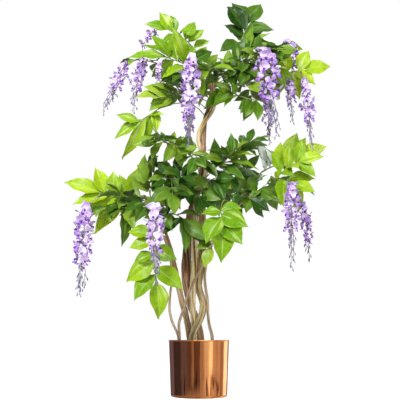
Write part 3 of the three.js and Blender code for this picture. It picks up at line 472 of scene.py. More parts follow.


# The shades of the leaflets from deep to fresh, the veins, the under side and the painted sheen of the satin
# streaks
LEAF_COLOURS = {
    "leaf_lime": (((0.15, 0.31, 0.005), (0.25, 0.42, 0.008), (0.37, 0.53, 0.014), (0.5, 0.66, 0.025)),
                  (0.48, 0.64, 0.12), (0.26, 0.4, 0.06), (0.62, 0.76, 0.24)),
    "leaf_green": (((0.024, 0.08, 0.004), (0.08, 0.19, 0.008), (0.21, 0.35, 0.018), (0.38, 0.52, 0.045)),
                   (0.22, 0.4, 0.08), (0.13, 0.24, 0.05), (0.4, 0.54, 0.17)),
    "leaf_dark": (((0.008, 0.036, 0.003), (0.032, 0.1, 0.006), (0.1, 0.19, 0.012), (0.24, 0.36, 0.035)),
                  (0.1, 0.25, 0.045), (0.06, 0.13, 0.025), (0.22, 0.38, 0.1)),
}
LEAVES = {name: leaf_material("silk_" + name, *colours) for name, colours in LEAF_COLOURS.items()}
STALKS = stalk_material("leaf_stalk", (0.34, 0.42, 0.13), (0.2, 0.16, 0.06))
FLOWER_STALKS = stalk_material("flower_stalk", (0.33, 0.34, 0.25), (0.24, 0.18, 0.26))
# Golden, reddish, brown, greenish and greyish wood: groove, middle, ridge and patches of fresher bark. The
# grooves are partly painted shade; trunk_main's golden is made lighter as painted light, and trunk_twist's
# reddish darker as painted shade for its place behind trunk_main
BARK_COLOURS = {
    "trunk_main": ((0.11, 0.058, 0.02), (0.68, 0.49, 0.24), (0.96, 0.88, 0.62), (0.74, 0.55, 0.27)),
    "trunk_twist": ((0.03, 0.012, 0.006), (0.24, 0.125, 0.065), (0.5, 0.32, 0.19), (0.42, 0.25, 0.14)),
    "stem_left": ((0.07, 0.036, 0.016), (0.4, 0.26, 0.13), (0.7, 0.54, 0.34), (0.54, 0.36, 0.2)),
    "stem_loop": ((0.055, 0.036, 0.013), (0.36, 0.26, 0.11), (0.64, 0.53, 0.3), (0.5, 0.44, 0.22)),
    "vine": ((0.13, 0.08, 0.045), (0.44, 0.32, 0.2), (0.68, 0.55, 0.4), (0.55, 0.42, 0.28)),
}
BARKS = {name: bark_material("bark_of_" + name, *colours) for name, colours in BARK_COLOURS.items()}
PETALS = petal_material("silk_petal")


# ---------------- leaflets and twigs


def neighbours(vert):
    return [edge.other_vert(vert) for edge in vert.link_edges]


def leaflet_frames(made):
    """The base, forward, above, length and half width of each leaflet of a spray, and the points of them"""
    found, points = [], set()
    for tip in made.verts:
        ring = neighbours(tip)
        if len(ring) != 4 or sum(loop.calc_angle() for loop in tip.link_loops) > CAD_TIP_ANGLE:
            continue
        pairs = itertools.combinations(ring, 2)
        crown, keel = min(pairs, key=lambda pair: (pair[0].co - pair[1].co).length)
        outer = [v for v in ring if v not in (crown, keel)]
        beside = [v for v in neighbours(crown) if v not in (*ring, tip) and keel in neighbours(v)]
        wide = [v for v in beside if any(other in outer for other in neighbours(v))]
        if len(wide) != 2:
            continue
        middle = np.array((crown.co + keel.co) / 2)
        above = unit(np.array(crown.co - keel.co))
        if np.dot(np.array((wide[0].co + wide[1].co) / 2) - middle, above) < 0:
            above = -above
        reach = np.array(tip.co) - middle
        forward = reach - above * np.dot(reach, above)
        length = np.linalg.norm(forward) / (1 - CAD_CROWN)
        forward = unit(forward)
        half = (wide[0].co - wide[1].co).length / 2
        found.append((middle - forward * CAD_CROWN * length, forward, above, length, half))
        points.update([tip, crown, keel, *outer, *wide])
    return found, points


def leaflet_faces():
    """Faces of a blade: rows of points on top, the tip, and rows below that share the outer points"""
    tip = LEAF_ROWS * LEAF_COLUMNS

    def top(row, column):
        return row * LEAF_COLUMNS + column

    def under(row, column):
        if column in (0, LEAF_COLUMNS - 1):
            return top(row, column)
        return tip + 1 + row * (LEAF_COLUMNS - 2) + column - 1

    faces = []
    for row in range(LEAF_ROWS):
        for column in range(LEAF_COLUMNS - 1):
            for at, turn in ((top, 1), (under, -1)):
                near = (at(row, column), at(row, column + 1))
                far = (tip,) if row == LEAF_ROWS - 1 else (at(row + 1, column + 1), at(row + 1, column))
                faces.append((near + far)[::turn])
    base = [top(0, column) for column in range(LEAF_COLUMNS)][::-1]
    faces.append(tuple(base + [under(0, column) for column in range(1, LEAF_COLUMNS - 1)]))
    return faces


LEAF_FACES = leaflet_faces()
# Where the points of a blade lie: how far along it, row by row, and how far across, column by column
LEAF_S = np.linspace(0, 1, LEAF_ROWS + 1)[:-1, None]
LEAF_T = np.linspace(-1, 1, LEAF_COLUMNS)[None, :]


def blade_points(values, tip, under=0.0):
    """Three values for each point of a blade: on its top, at its tip, and on its under side, lowered"""
    top = np.stack(np.broadcast_arrays(*values), -1)
    low = top[:, 1:-1] - np.broadcast_to(under, top.shape[:2])[:, 1:-1, None] * UP
    return np.concatenate([top.reshape(-1, 3), [tip], low.reshape(-1, 3)])


def leaf_blade(length, half, rng):
    """Points of a blade in its own frame: folded, arched, with waved edges, sunken veins and a drip tip"""
    wide = np.abs(LEAF_T)
    along = LEAF_S + 0.32 * wide * LEAF_S * (1 - LEAF_S)
    outline = np.interp(along, *zip(*LEAF_OUTLINE))
    fold = rng.uniform(0.1, 0.38)
    droop = rng.uniform(0.03, 0.15) + 0.02
    twist = rng.uniform(-0.45, 0.45)
    bend = rng.uniform(-0.05, 0.05)
    phase = rng.uniform(0, FULL_TURN, 2)
    waves = rng.uniform(2.2, 3.6)
    x = LEAF_T * half * outline
    arch = 0.05 * length * np.sin(math.pi * np.clip(along, 0, 1)) - droop * length * along ** 2
    folded = wide ** 1.4 * half * outline * fold
    ripple = np.sin(FULL_TURN * waves * along + np.where(LEAF_T > 0, *phase))
    wave = wide ** 2 * 0.022 * length * ripple * outline
    vein = VEIN_DEPTH * (np.arange(LEAF_ROWS)[:, None] % 2) * np.sin(math.pi * wide) * outline
    groove = -MIDRIB_DEPTH * (wide == 0) * outline
    z = arch + folded + wave + vein + groove
    turn = twist * along ** 2
    x, z = x * np.cos(turn) - z * np.sin(turn) * (wide > 0), z + x * np.sin(turn)
    x = x + bend * length * along ** 2
    thick = LEAF_THICKNESS + MIDRIB_THICKNESS * (wide == 0) * (1 - 0.6 * along)
    tip = [bend * length, length - LEAF_SINK, -droop * length]
    return blade_points([x, along * length - LEAF_SINK, z], tip, thick)


def add_leaflet(shape, base, forward, above, length, half, wider, fresh, spread, loose, rng):
    """A silk leaflet, rolled about its length by up to loose, with a green of its own"""
    side = np.cross(forward, above)
    roll = rng.uniform(-loose, loose)
    c, s = math.cos(roll), math.sin(roll)
    side, above = c * side + s * above, c * above - s * side
    points = base + framed(leaf_blade(length, half * wider, rng), side, forward, above)
    # most leaflets lie near one end or the other of the spray's range of greens
    middle = 2 * rng.uniform() - 1
    gathered = 0.5 + 0.5 * math.copysign(abs(middle) ** UNEVEN, middle)
    own = min(max(1.0, fresh), fresh + spread * gathered)
    place = blade_points([LEAF_T, LEAF_S, own], [0, 1, own])
    under = np.arange(len(points)) > LEAF_ROWS * LEAF_COLUMNS
    shape.add(points, LEAF_FACES, BLADE, place, under)


def add_twig(shape, made, leaf_points):
    """The rest of a spray, its twig and stalks, closed and rounded"""
    bmesh.ops.delete(made, geom=list(leaf_points), context="VERTS")
    open_edges = [e for e in made.edges if e.is_boundary]
    if open_edges:
        bmesh.ops.holes_fill(made, edges=open_edges, sides=0)
    bmesh.ops.delete(made, geom=[v for v in made.verts if not v.link_faces], context="VERTS")
    mesh = bpy.data.meshes.new("stalks")
    made.to_mesh(mesh)
    rough = placed("stalks", mesh)
    rough.modifiers.new("round", "SUBSURF").levels = 1
    smooth = rough.evaluated_get(bpy.context.evaluated_depsgraph_get()).to_mesh()
    points = np.array([v.co for v in smooth.vertices])
    shape.add(points, [tuple(face.vertices) for face in smooth.polygons], STALK)
    bpy.data.objects.remove(rough)
    bpy.data.meshes.remove(mesh)


def make_spray(node):
    name = node.removeprefix("spray_")
    rng = seeded(node)
    made = merged_mesh(node)
    frames, points = leaflet_frames(made)
    shape = Shape()
    slot = slots[node]
    fresh, spread = FRESHNESS[slot]
    roll = LEAF_ROLL.get(name, LEAF_ROLL[slot])
    looks = (WIDER.get(name, LEAF_WIDER), FRESH.get(name, fresh), spread, roll)
    for number, leaflet in enumerate(frames):
        # leaflets painted pale as a painted highlight take looks of their own
        own = GLARE_LOOKS if number in GLARE_LEAFLETS.get(name, ()) else looks
        add_leaflet(shape, *leaflet, *own, rng)
    add_twig(shape, made, points)
    made.free()
    shape.piece("leaves_" + name, [LEAVES[slot], STALKS], node)


# ---------------- stems


def lengths_along(path):
    """How far each point of a path lies from its start, along it"""
    return np.concatenate([[0], np.cumsum(np.linalg.norm(np.diff(path, axis=0), axis=1))])


def point_at(path, lengths, length):
    return np.array([np.interp(length, lengths, path[:, k]) for k in range(3)])


def crossing(starts, ends, level):
    """Where edges cross a height, in x and y"""
    share = (level - starts[:, 2:]) / (ends[:, 2:] - starts[:, 2:])
    return (starts + (ends - starts) * share)[:, :2]


def level_cuts(made, levels):
    """The middle and the area of a closed mesh's cut at each height that meets it"""
    starts = np.array([[v.co[:] for v in face.verts] for face in made.faces])
    ends = np.roll(starts, -1, axis=1)
    centres, areas = [], []
    for level in levels:
        before, after = starts[:, :, 2] > level, ends[:, :, 2] > level
        passing = (after & ~before, before & ~after)
        up, down = [crossing(starts[edges], ends[edges], level) for edges in passing]
        if len(up) == 0:
            continue
        origin = up.mean(0)
        a, b = up - origin, down - origin
        twice = a[:, 0] * b[:, 1] - a[:, 1] * b[:, 0]
        area = twice.sum() / 2
        middle = origin + ((a + b) * twice[:, None]).sum(0) / (6 * area) if abs(area) > 1e-9 else origin
        centres.append((*middle, level))
        areas.append(abs(area))
    return np.array(centres), np.array(areas)


def smoothed(values, passes):
    values = values.copy()
    for _ in range(passes):
        values[1:-1] = (values[:-2] + 2 * values[1:-1] + values[2:]) / 4
    return values


def axis_of(node, step):
    """A node's centre line from its lowest to its highest point, and its radius, read from level cuts"""
    margin = 0.0005
    made = merged_mesh(node)
    heights = [v.co.z for v in made.verts]
    count = max(4, round((max(heights) - min(heights)) / step))
    levels = np.linspace(min(heights) + margin, max(heights) - margin, count)
    centres, areas = level_cuts(made, levels)
    made.free()
    slopes = np.gradient(centres, axis=0)
    upright = slopes[:, 2] / np.linalg.norm(slopes, axis=1)
    return centres, np.sqrt(areas * np.abs(upright) / math.pi)


def tube_rings(path, radii, sides):
    """Points round a path, ring by ring. Each ring has one radius, or one for each of its points"""
    forward = np.gradient(path, axis=0)
    forward /= np.linalg.norm(forward, axis=1)[:, None]
    right = across(forward[0], np.array([1.0, 0.2, 0.1]))
    angles = round_angles(sides)
    rings = []
    for centre, reach, ahead in zip(path, radii, forward):
        right = across(ahead, right)
        x, y = np.cos(angles) * reach, np.sin(angles) * reach
        rings.append(centre + np.outer(x, right) + np.outer(y, np.cross(ahead, right)))
    return np.array(rings)


def tube_faces(rings, sides):
    faces = [tuple(range(sides))[::-1]]
    for ring in range(rings - 1):
        for side in range(sides):
            a, b = ring * sides + side, ring * sides + (side + 1) % sides
            faces.append((a, b, b + sides, a + sides))
    faces.append(tuple(range((rings - 1) * sides, rings * sides)))
    return faces


def add_stalk(shape, path, radii, sides):
    rings = tube_rings(path, radii, sides)
    shape.add(rings, tube_faces(len(rings), sides), STALK)


def bark_height(angle, length, turned, offset, knots):
    """How high the bark stands at a place round and along a stem, as a share of the radius"""

    def ridges(size, stretch, shift):
        x, y = size * math.cos(turned), size * math.sin(turned)
        return noise.noise(Vector((x, y, stretch * length + shift)))

    broad, strand, fine = ridges(1.1, 5, offset), ridges(2.6, 7, -offset), ridges(5.5, 12, 2 * offset)
    height = 0.2 * broad + 0.34 * (0.3 - abs(strand)) + 0.26 * (0.25 - abs(fine))
    for knot_angle, knot_length, size in knots:
        around = (angle - knot_angle + math.pi) % FULL_TURN - math.pi
        height += size * math.exp(-(around / KNOT_WIDTH) ** 2 - ((length - knot_length) / KNOT_LENGTH) ** 2)
    return height


def make_stem(node):
    """A bar with fluted, knotted bark that winds round it. Thin vines wind faster and are smoother"""
    rng = seeded(node)
    path, radii = axis_of(node, STEM_STEP)
    path, radii = smoothed(path, 10), smoothed(radii, 30)
    kind = node.split("_")[0]
    thick = radii.max() > THICK_STEM
    sides, depth, faster = (48, 1.0, 1) if thick else (20, 0.7, 3)
    offset = rng.uniform(0, 50)
    winding = (9.0 if kind == "trunk" else 5.0) * faster
    knots = [[rng.uniform(0, FULL_TURN), rng.uniform(0.1, 1), rng.uniform(0.1, 0.22)] for _ in range(KNOTS)]
    lengths, angles = lengths_along(path), round_angles(sides)
    turned = angles[None, :] + winding * lengths[:, None]
    relief = np.array([[depth * bark_height(angle, length, turn, offset, knots)
                        for angle, turn in zip(angles, row)] for length, row in zip(lengths, turned)])
    rings = tube_rings(path, radii[:, None] * (1 + relief), sides)
    # the bar straightened out, for the bark's grain
    x, y = radii[:, None] * np.cos(turned), radii[:, None] * np.sin(turned)
    place = np.stack([x, y, lengths[:, None] + 0 * turned], -1).reshape(-1, 3)
    shape = Shape()
    shape.add(rings, tube_faces(len(rings), sides), 0, place, (0.5 + relief / 0.5).ravel())
    shape.piece("bark_" + node, [BARKS["vine" if kind == "vine" else node]], node)


# ---------------- racemes


def disc_grid(rings, spokes):
    """Faces of a thin closed dish, whose upper and lower rings share the outermost. Point 0 is the middle"""
    upper = [[0]] + [[1 + spokes * r + k for k in range(spokes)] for r in range(rings)]
    low = 1 + spokes * rings
    lower = [[low]] + [[low + 1 + spokes * r + k for k in range(spokes)] for r in range(rings - 1)]
    lower.append(upper[-1])
    faces = []
    for layer, turn in ((upper, 1), (lower, -1)):
        for k in range(spokes):
            ahead = (k + 1) % spokes
            faces.append((layer[0][0], layer[1][k], layer[1][ahead])[::turn])
            for r in range(1, rings):
                a, b, c, d = layer[r][k], layer[r + 1][k], layer[r + 1][ahead], layer[r][ahead]
                faces.append((a, b, c, d)[::turn])
    return faces


def dish(rings, spokes, outline, height, thickness):
    """Points of a thin dish in its own plane, and how far out each lies"""
    angles = round_angles(spokes)
    layers, outs = [], []
    for level, last in ((0.0, rings), (-thickness, rings - 1)):
        layers.append([[0.0, 0.0, height(0.0, 0.0) + level]])
        outs.append([0.0])
        for r in range(1, last + 1):
            out = r / rings
            reach = out * outline(angles)
            drop = level * (r < rings) + 0 * angles
            x, y = np.sin(angles) * reach, np.cos(angles) * reach
            layers.append(np.stack([x, y, height(out, angles) + drop], -1))
            outs.append(np.full(spokes, out))
    return np.concatenate(layers), np.concatenate(outs)


# Banners and wings are measured in radii of the banner
def wing_outline(angles):
    return 0.36 + 0.22 * np.abs(np.cos(angles)) ** 1.5


def wing_height(out, angles):
    return -0.2 * out ** 2


BANNER_FACES = disc_grid(BANNER_RINGS, BANNER_SPOKES)
WING_FACES = disc_grid(WING_RINGS, WING_SPOKES)
WING_POINTS, WING_OUTS = dish(WING_RINGS, WING_SPOKES, wing_outline, wing_height, 0.05)


def petal_place(high, kind, own):
    return np.stack([high, 0 * high + kind, 0 * high + own], -1)


def add_drop(shape, start, end, radius, kind, own, sides=6):
    """A drop shape, which is a bud, a cup, a keel or a tuft of moss"""
    path = np.array([start + (end - start) * share for share, _ in DROP_PROFILE])
    rings = tube_rings(path, [radius * width for _, width in DROP_PROFILE], sides)
    high = np.repeat([share for share, _ in DROP_PROFILE], sides)
    shape.add(rings, tube_faces(len(rings), sides), PETAL, petal_place(high, kind, own))


def add_pedicel(shape, start, end, sag, radius):
    """A thin stalk between two places, bowed upwards by sag in the middle"""
    shares = np.linspace(0, 1, 4)[:, None]
    path = start + (end - start) * shares + UP * sag * np.sin(math.pi * shares)
    add_stalk(shape, path, [radius] * 4, 4)


def add_floret(shape, place, outward, upward, size, own, rng):
    """One flower: a broad folded banner that stands up, and two wings below it with a keel between them"""
    side = np.cross(upward, outward)

    def put(points, outs, high, faces, kind):
        world = place + framed(points * size, side, upward, outward)
        shape.add(world, faces, PETAL, petal_place(high, kind, own), outs)

    phases = rng.uniform(0, FULL_TURN, 3)
    crease = rng.uniform(0.0, 0.95)
    hood = rng.uniform(-0.6, 0.7)
    skew = rng.uniform(-0.12, 0.12)

    def banner_outline(a):
        notch = 0.16 * np.exp(-(np.minimum(a, FULL_TURN - a) / 0.3) ** 2)
        ruffle = 0.09 * np.sin(2 * a + phases[0]) + 0.08 * np.sin(5 * a + phases[1])
        return 1.0 - notch - 0.25 * (1 - np.cos(a)) / 2 + ruffle

    def banner_height(out, a):
        x, y = np.sin(a) * out, np.cos(a) * out
        bent = hood * np.maximum(y, 0) ** 2 - crease * np.abs(x) + 0.25 * out ** 2
        return bent + out ** 2 * (0.12 * np.sin(3 * a + phases[2]) + skew * x)

    points, outs = dish(BANNER_RINGS, BANNER_SPOKES, banner_outline, banner_height, 0.03)
    high = np.clip((points[:, 1] + 0.8) / 1.7, 0, 1)
    points[:, 1] += 0.5
    put(points, outs, high, BANNER_FACES, BANNER)
    spread = rng.uniform(0.25, 0.7)
    for way in (-1, 1):
        ahead = unit(np.array([way * spread, -0.5, rng.uniform(0.5, 0.9)]))
        face = across(ahead, np.array([way, 0.45, 0.3]))
        high = np.clip(WING_POINTS[:, 1] + 0.5, 0, 1)
        moved = framed(WING_POINTS + [0.0, 0.5, 0.0], np.cross(face, ahead), ahead, face)
        put(moved + [way * 0.06, -0.08, 0.06], WING_OUTS, high, WING_FACES, WING)
    root, end = place + 0.1 * size * upward, place + size * (0.08 * upward + 0.64 * outward)
    add_drop(shape, root, end, 0.24 * size, KEEL, own)


def add_flower(shape, middle, turn, stand, size, cup_radius, own, rng):
    """A floret on its stalk, with a cup behind it, at one side of the raceme's stem"""
    away = outwards(turn)
    place = middle + away * stand - 0.004 * UP
    outward = unit(away + (rng.uniform(-0.4, 0.3) - 0.3) * UP + 0.45 * rng.uniform(-1, 1, 3))
    upward = across(outward, UP + 0.35 * rng.uniform(-1, 1, 3))
    cup = place - outward * 0.2 * size
    add_pedicel(shape, middle, cup, 0.003, 0.0006)
    add_drop(shape, cup - 0.0035 * outward, cup + 0.004 * outward, cup_radius, BUD, own)
    add_floret(shape, place, outward, upward, size, own, rng)


def add_buds(shape, line, size, rng):
    """Long drooping buds on short stalks, all the way down a thin stem. They get smaller towards its end"""
    lengths = lengths_along(line)
    turn = rng.uniform(0, FULL_TURN)
    at = 0.003
    while at < lengths[-1]:
        middle = point_at(line, lengths, at)
        turn += GOLDEN_TURN + rng.uniform(-0.5, 0.5)
        away = outwards(turn)
        long = size * (1.0 - 0.3 * at / lengths[-1]) * rng.uniform(0.8, 1.2)
        root = middle + away * rng.uniform(0.2, 0.5) * long - 0.4 * long * UP
        down = unit(away * rng.uniform(0.1, 0.5) - UP + 0.12 * rng.uniform(-1, 1, 3))
        add_pedicel(shape, middle, root, 0.0015, 0.0008)
        add_drop(shape, root, root + down * long, 0.17 * long, BUD, rng.uniform())
        at += BUD_STEP * rng.uniform(0.7, 1.3)


def make_raceme(node):
    """A stem with open flowers and then buds, down the middle of a node as wide as the flowers"""
    name = node.removeprefix("raceme_")
    rng = seeded(node)
    path, radii = axis_of(node, RACEME_STEP)
    path, radii = path[::-1], radii[::-1]
    lengths = lengths_along(path)
    start, end = lengths[int(np.argmax(radii > RACEME_STALK))], lengths[-1]
    span = end - start
    spine = smoothed(path, 12)
    full = radii.max()
    scale = min(1.0, 0.45 + 0.55 * full / FULL_RACEME)
    grown, pale, apart, bare, open_to, wide = RACEMES.get(name, FLOWERS)

    def spot(share):
        return point_at(spine, lengths, start + share * span)

    shape = Shape()
    thin = np.interp(lengths, [0, start, end], [0.0017, 0.0016, 0.0009])
    keep = sorted({*range(0, len(path), 3), len(path) - 1})
    add_stalk(shape, spine[keep], thin[keep], 5)
    turn = rng.uniform(0, FULL_TURN)
    cup_radius = 0.0026 * scale + 0.0004
    at = 0.004 + bare * span
    while at < open_to * span:
        share = at / span
        reach = max(float(np.interp(start + at, lengths, radii)), 0.3 * full)
        turn += GOLDEN_TURN + rng.uniform(-0.25, 0.25)
        own = min(1.0, max(0.0, 0.8 * rng.uniform() + 0.35 - 0.7 * pale))
        size = BANNER_RADIUS * scale * grown * (1.08 - 0.4 * share) * rng.uniform(0.75, 1.2)
        stand = wide * max(reach - 0.75 * size, 0.4 * size) * rng.uniform(*FLOWER_SPREAD)
        add_flower(shape, spot(share), turn, stand, size, cup_radius, own, rng)
        at += FLOWER_STEP * scale * apart * (1.0 + 0.25 * share) * rng.uniform(0.5, 1.6)
    bud = BUD_LENGTH * (0.6 + 0.4 * scale)
    add_buds(shape, np.array([spot(share) for share in np.linspace(open_to - 0.05, 1, 8)]), bud, rng)
    # fuller racemes end in two or three thin tails
    for _ in range(round(full / RADIUS_PER_TAIL)):
        turn += GOLDEN_TURN
        away = outwards(turn) * full * rng.uniform(0.25, 0.4)
        first, last = open_to - rng.uniform(0.02, 0.15), open_to + (1 - open_to) * rng.uniform(0.45, 0.8)
        parting = np.sin(0.5 * math.pi * np.minimum(1.0, 2.5 * np.linspace(0, 1, TAIL_POINTS)))
        shares = np.linspace(first, last, TAIL_POINTS)
        line = np.array([spot(share) + away * part for share, part in zip(shares, parting)])
        add_stalk(shape, line, np.linspace(0.0012, 0.0008, TAIL_POINTS), 4)
        add_buds(shape, line[2:], 0.9 * bud, rng)
    add_drop(shape, spine[-1] + 0.004 * UP, spine[-1] - 0.002 * UP, 0.0012, BUD, 0.5)
    shape.piece("flowers_" + name, [PETALS, FLOWER_STALKS], node)


# ---------------- pot and moss


def reaches(node):
    """How far from its axis, and how high, each point of a node lies"""
    made = merged_mesh(node)
    found = [(math.hypot(v.co.x, v.co.y), v.co.z) for v in made.verts]
    made.free()
    return found


def arc(middle, size, start, end, steps):
    """Points of an arc, by degrees, without its first"""
    angles = np.radians(np.linspace(start, end, steps + 1)[1:])
    return [(middle[0] + size[0] * math.cos(a), middle[1] + size[1] * math.sin(a)) for a in angles]


def make_pot():
    """A wall turned from an outline, which runs from the middle of the foot over the rim to the inside"""
    reach = reaches("pot")
    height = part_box("pot")[1].z
    foot = max(r for r, z in reach if z < 1e-4)
    belly = max(r for r, z in reach if abs(z - POT_CORNER) < 1e-3)
    rim = max(r for r, z in reach if z > height - 1e-4)
    bead = max(r for r, _ in reach)
    wall_top, inside_top = height - RIM_HEIGHT, height - RIM_LIP
    outline = [(foot / 2, 0.0), (foot, 0.0)]
    outline += arc((belly - POT_CORNER, POT_CORNER), (POT_CORNER, POT_CORNER), -90, 0, 8)
    for share in (0.004, 0.25, 0.5, 0.75, 0.996, 1.0):
        outline.append((belly + (rim - belly) * share, POT_CORNER + (wall_top - POT_CORNER) * share))
    middle, size = (bead - RIM_HALF, height - RIM_HEIGHT / 2), (RIM_HALF, RIM_HEIGHT / 2)
    outline += arc(middle, size, -80, 150, 12)[:-1]
    for share in np.linspace(0, 1, 9):
        inner = rim - POT_WALL + (belly - rim) * share
        outline.append((inner, inside_top - (inside_top - POT_CORNER) * share))
    outline += [(foot - POT_WALL, POT_WALL), (foot / 2, POT_WALL)]
    points = [r * outwards(angle) + z * UP for r, z in outline for angle in round_angles(POT_SPOKES)]
    shape = Shape()
    shape.add(points, tube_faces(len(outline), POT_SPOKES))
    shape.piece("copper_pot", [copper_material()], "pot")


def make_moss():
    """A bed of dry moss: an uneven cushion with small tufts, as high as its node"""
    low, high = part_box("moss")
    sizes = reaches("moss")
    reach = max(r for r, _ in sizes)
    edge = max(z for r, z in sizes if r > reach - 0.002)
    crown = high.z - MOSS_UNDER_TOP
    rng = seeded("moss")

    def level(share):
        return edge + (crown - edge) * (1 - share ** 2.2)

    angles = round_angles(MOSS_SPOKES)
    points = [crown * UP]
    for ring in range(1, MOSS_RINGS + 1):
        share = ring / MOSS_RINGS
        for angle in angles:
            place = reach * share * outwards(angle)
            lump = noise.fractal(Vector(place) * MOSS_LUMPS_PER_METRE, 1.0, 2.0, 4)
            points.append(place + (level(share) + MOSS_LUMP * lump - 0.003 * share ** 6) * UP)
    points.extend([reach * outwards(angle) + low.z * UP for angle in angles])
    after = [(k + 1) % MOSS_SPOKES for k in range(MOSS_SPOKES)]
    faces = [(0, 1 + k, 1 + ahead) for k, ahead in enumerate(after)]
    for first in range(1, 1 + MOSS_RINGS * MOSS_SPOKES, MOSS_SPOKES):
        for a, b in ((first + k, first + ahead) for k, ahead in enumerate(after)):
            faces.append((a, a + MOSS_SPOKES, b + MOSS_SPOKES, b))
    faces.append(tuple(range(1 + MOSS_RINGS * MOSS_SPOKES, len(points)))[::-1])
    shape = Shape()
    shape.add(points, faces)
    for _ in range(TUFTS):
        share = math.sqrt(rng.uniform(0, 0.97))
        root = reach * share * outwards(rng.uniform(0, FULL_TURN)) + (level(share) - 0.002) * UP
        lean = np.array([rng.uniform(-1, 1), rng.uniform(-1, 1), rng.uniform(0.6, 1.4)])
        end = root + unit(lean) * rng.uniform(0.004, 0.008)
        end[2] = min(end[2], high.z)
        add_drop(shape, root, end, rng.uniform(0.0012, 0.0024), 0, 0, sides=5)
    shape.piece("moss_bed", [moss_material()], "moss")


# ---------------- stage


# Lamps: their name, place, the height they point at, size and power
LAMPS = (("key", (-1.3, -2.6, 2.5), 0.8, 1.0, 112), ("fill", (1.2, -2.8, 1.0), 0.8, 1.6, 40),
         ("back", (0.8, 2.0, 3.0), 0.9, 1.2, 32))

# Soft light from all round, the glow that makes the floor white for the camera, and the floor's half width
SOFT = 0.26
FLOOR_GLOW = 0.88
FLOOR_HALF = 40.0

# What the polished pot mirrors: tints, and the brightness by degrees round it, from behind it by way of the
# camera's left (-90), the camera (0) and its right (90)
CLEAR = (1.0, 1.0, 1.0)
GOLD = (1.0, 0.86, 0.8)
RED = (1.0, 0.7, 0.75)
DULL = (1.0, 0.95, 1.6)
MIRRORED = (
    (-180, 0.3, DULL), (-166, 0.13, DULL), (-136, 0.13, DULL), (-130, 0.17, DULL), (-120, 0.16, DULL),
    (-116, 0.05, DULL), (-76, 0.05, DULL), (-70, 0.12, DULL), (-47, 0.12, DULL), (-43, 0.11, RED),
    (-30, 0.12, RED), (-28, 0.3, GOLD), (-20, 0.26, GOLD), (-18, 0.13, RED), (2, 0.14, RED), (5, 0.36, GOLD),
    (16, 0.5, GOLD), (22, 0.72, CLEAR), (39, 0.8, CLEAR), (41, 1.75, CLEAR), (51, 1.8, CLEAR),
    (53, 0.6, GOLD), (68, 0.62, GOLD), (72, 0.42, GOLD), (80, 0.6, GOLD), (86, 0.58, GOLD), (92, 0.4, GOLD),
    (110, 0.34, RED), (112, 1.6, CLEAR), (141, 1.7, CLEAR), (144, 0.45, RED), (168, 0.3, RED),
)
BRIGHTEST = 3.0


def make_lamp(name, place, aim, size, power):
    light = bpy.data.lights.new(name, "AREA")
    light.shape = "DISK"
    light.size, light.energy = size, power
    made = placed(name, light)
    made.location = place
    made.rotation_mode = "QUATERNION"
    made.rotation_quaternion = (Vector((0, 0, aim)) - Vector(place)).to_track_quat("-Z", "Y")


def make_floor():
    mesh = bpy.data.meshes.new("floor")
    corners = [(x * FLOOR_HALF, y * FLOOR_HALF, 0) for x, y in ((-1, -1), (1, -1), (1, 1), (-1, 1))]
    mesh.from_pydata(corners, [], [(0, 1, 2, 3)])
    floor = placed("floor", mesh)
    n = new_material("pale_floor")
    n.shader.inputs["Emission Color"].default_value = (1, 1, 1, 1)
    glow = n.math("MULTIPLY", n.add("LightPath").outputs["Is Camera Ray"], FLOOR_GLOW)
    n.feed(n.shader.inputs["Emission Strength"], glow)
    mesh.materials.append(n.finish((0.8, 0.8, 0.8, 1.0), 0.9, 0.0))
    floor.visible_glossy = False


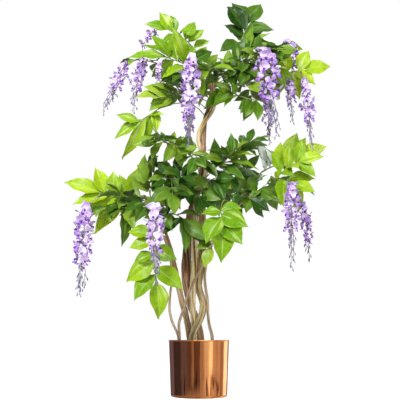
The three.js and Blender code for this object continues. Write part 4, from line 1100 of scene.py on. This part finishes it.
def mirrored_room(n, where):
    """Bright and dark screens round the pot, with fine upright streaks and with dark blots low down"""
    x, y, z = n.split(where)
    turn = n.math("ARCTAN2", x, n.math("MULTIPLY", y, -1.0))
    waver = n.between(n.noise(n.stretch(where, (3.0, 3.0, 30.0)), 1.0, 2.0), 0.3, 0.7, -0.03, 0.03)
    share = n.between(n.math("ADD", turn, waver), -math.pi, math.pi)
    stops = [((degrees + 180) / 360, [bright * part / BRIGHTEST for part in tint])
             for degrees, bright, tint in MIRRORED]
    screens = n.mix(1.0, n.ramp(share, stops), (BRIGHTEST,) * 3, "MULTIPLY")
    streaks = n.between(n.noise(n.stretch(where, (16.0, 16.0, 1.2)), 1.0, 2.0), 0.3, 0.7, 0.72, 1.3)
    blots = n.between(n.noise(n.stretch(where, (4.5, 4.5, 14.0)), 1.0, 1.0), 0.54, 0.57, 0.0, 0.9)
    blots = n.math("MULTIPLY", blots, n.between(z, -0.122, -0.13))
    screens = n.mix(1.0, screens, streaks, "MULTIPLY")
    screens = n.tint(blots, screens, (0.14, 0.12, 0.16))
    room = n.mix(n.between(z, 0.2, 0.6), screens, (0.3, 0.3, 0.3))
    floor = n.math("MINIMUM", n.between(z, -0.175, -0.148, 1.0, 0.0), n.between(z, -0.22, -0.19, 0.4, 1.0))
    return n.mix(floor, room, (0.5, 0.42, 0.4))


def make_world():
    """White for the camera, soft light for all matt surfaces, and a room that only gloss mirrors"""
    world = bpy.data.worlds.new("studio")
    bpy.context.scene.world = world
    n = Nodes(world)
    n.tree.nodes.clear()
    room = mirrored_room(n, n.add("TexCoord").outputs["Generated"])
    path = n.add("LightPath")
    colour = n.mix(path.outputs["Is Glossy Ray"], (SOFT, SOFT, SOFT), room)
    colour = n.mix(path.outputs["Is Camera Ray"], colour, (1.0, 1.0, 1.0))
    n.add("OutputWorld", n.add("Background", colour).outputs[0])


def make_camera():
    camera = placed("camera", bpy.data.cameras.new("camera"))
    camera.data.lens = CAMERA_LENS
    camera.data.sensor_width = SENSOR
    camera.location = CAMERA_PLACE
    camera.rotation_euler = (math.radians(90 + CAMERA_PITCH), 0, 0)
    bpy.context.scene.camera = camera
    bpy.context.scene.view_settings.view_transform = "Standard"


MAKERS = {"spray": make_spray, "raceme": make_raceme,
          "trunk": make_stem, "stem": make_stem, "vine": make_stem}
for node in nodes:
    kind = node.split("_")[0]
    if kind in MAKERS:
        MAKERS[kind](node)
make_pot()
make_moss()
nodes["pot_fill"].data.materials[0] = mortar_material()

make_floor()
make_world()
make_camera()
for lamp in LAMPS:
    make_lamp(*lamp)
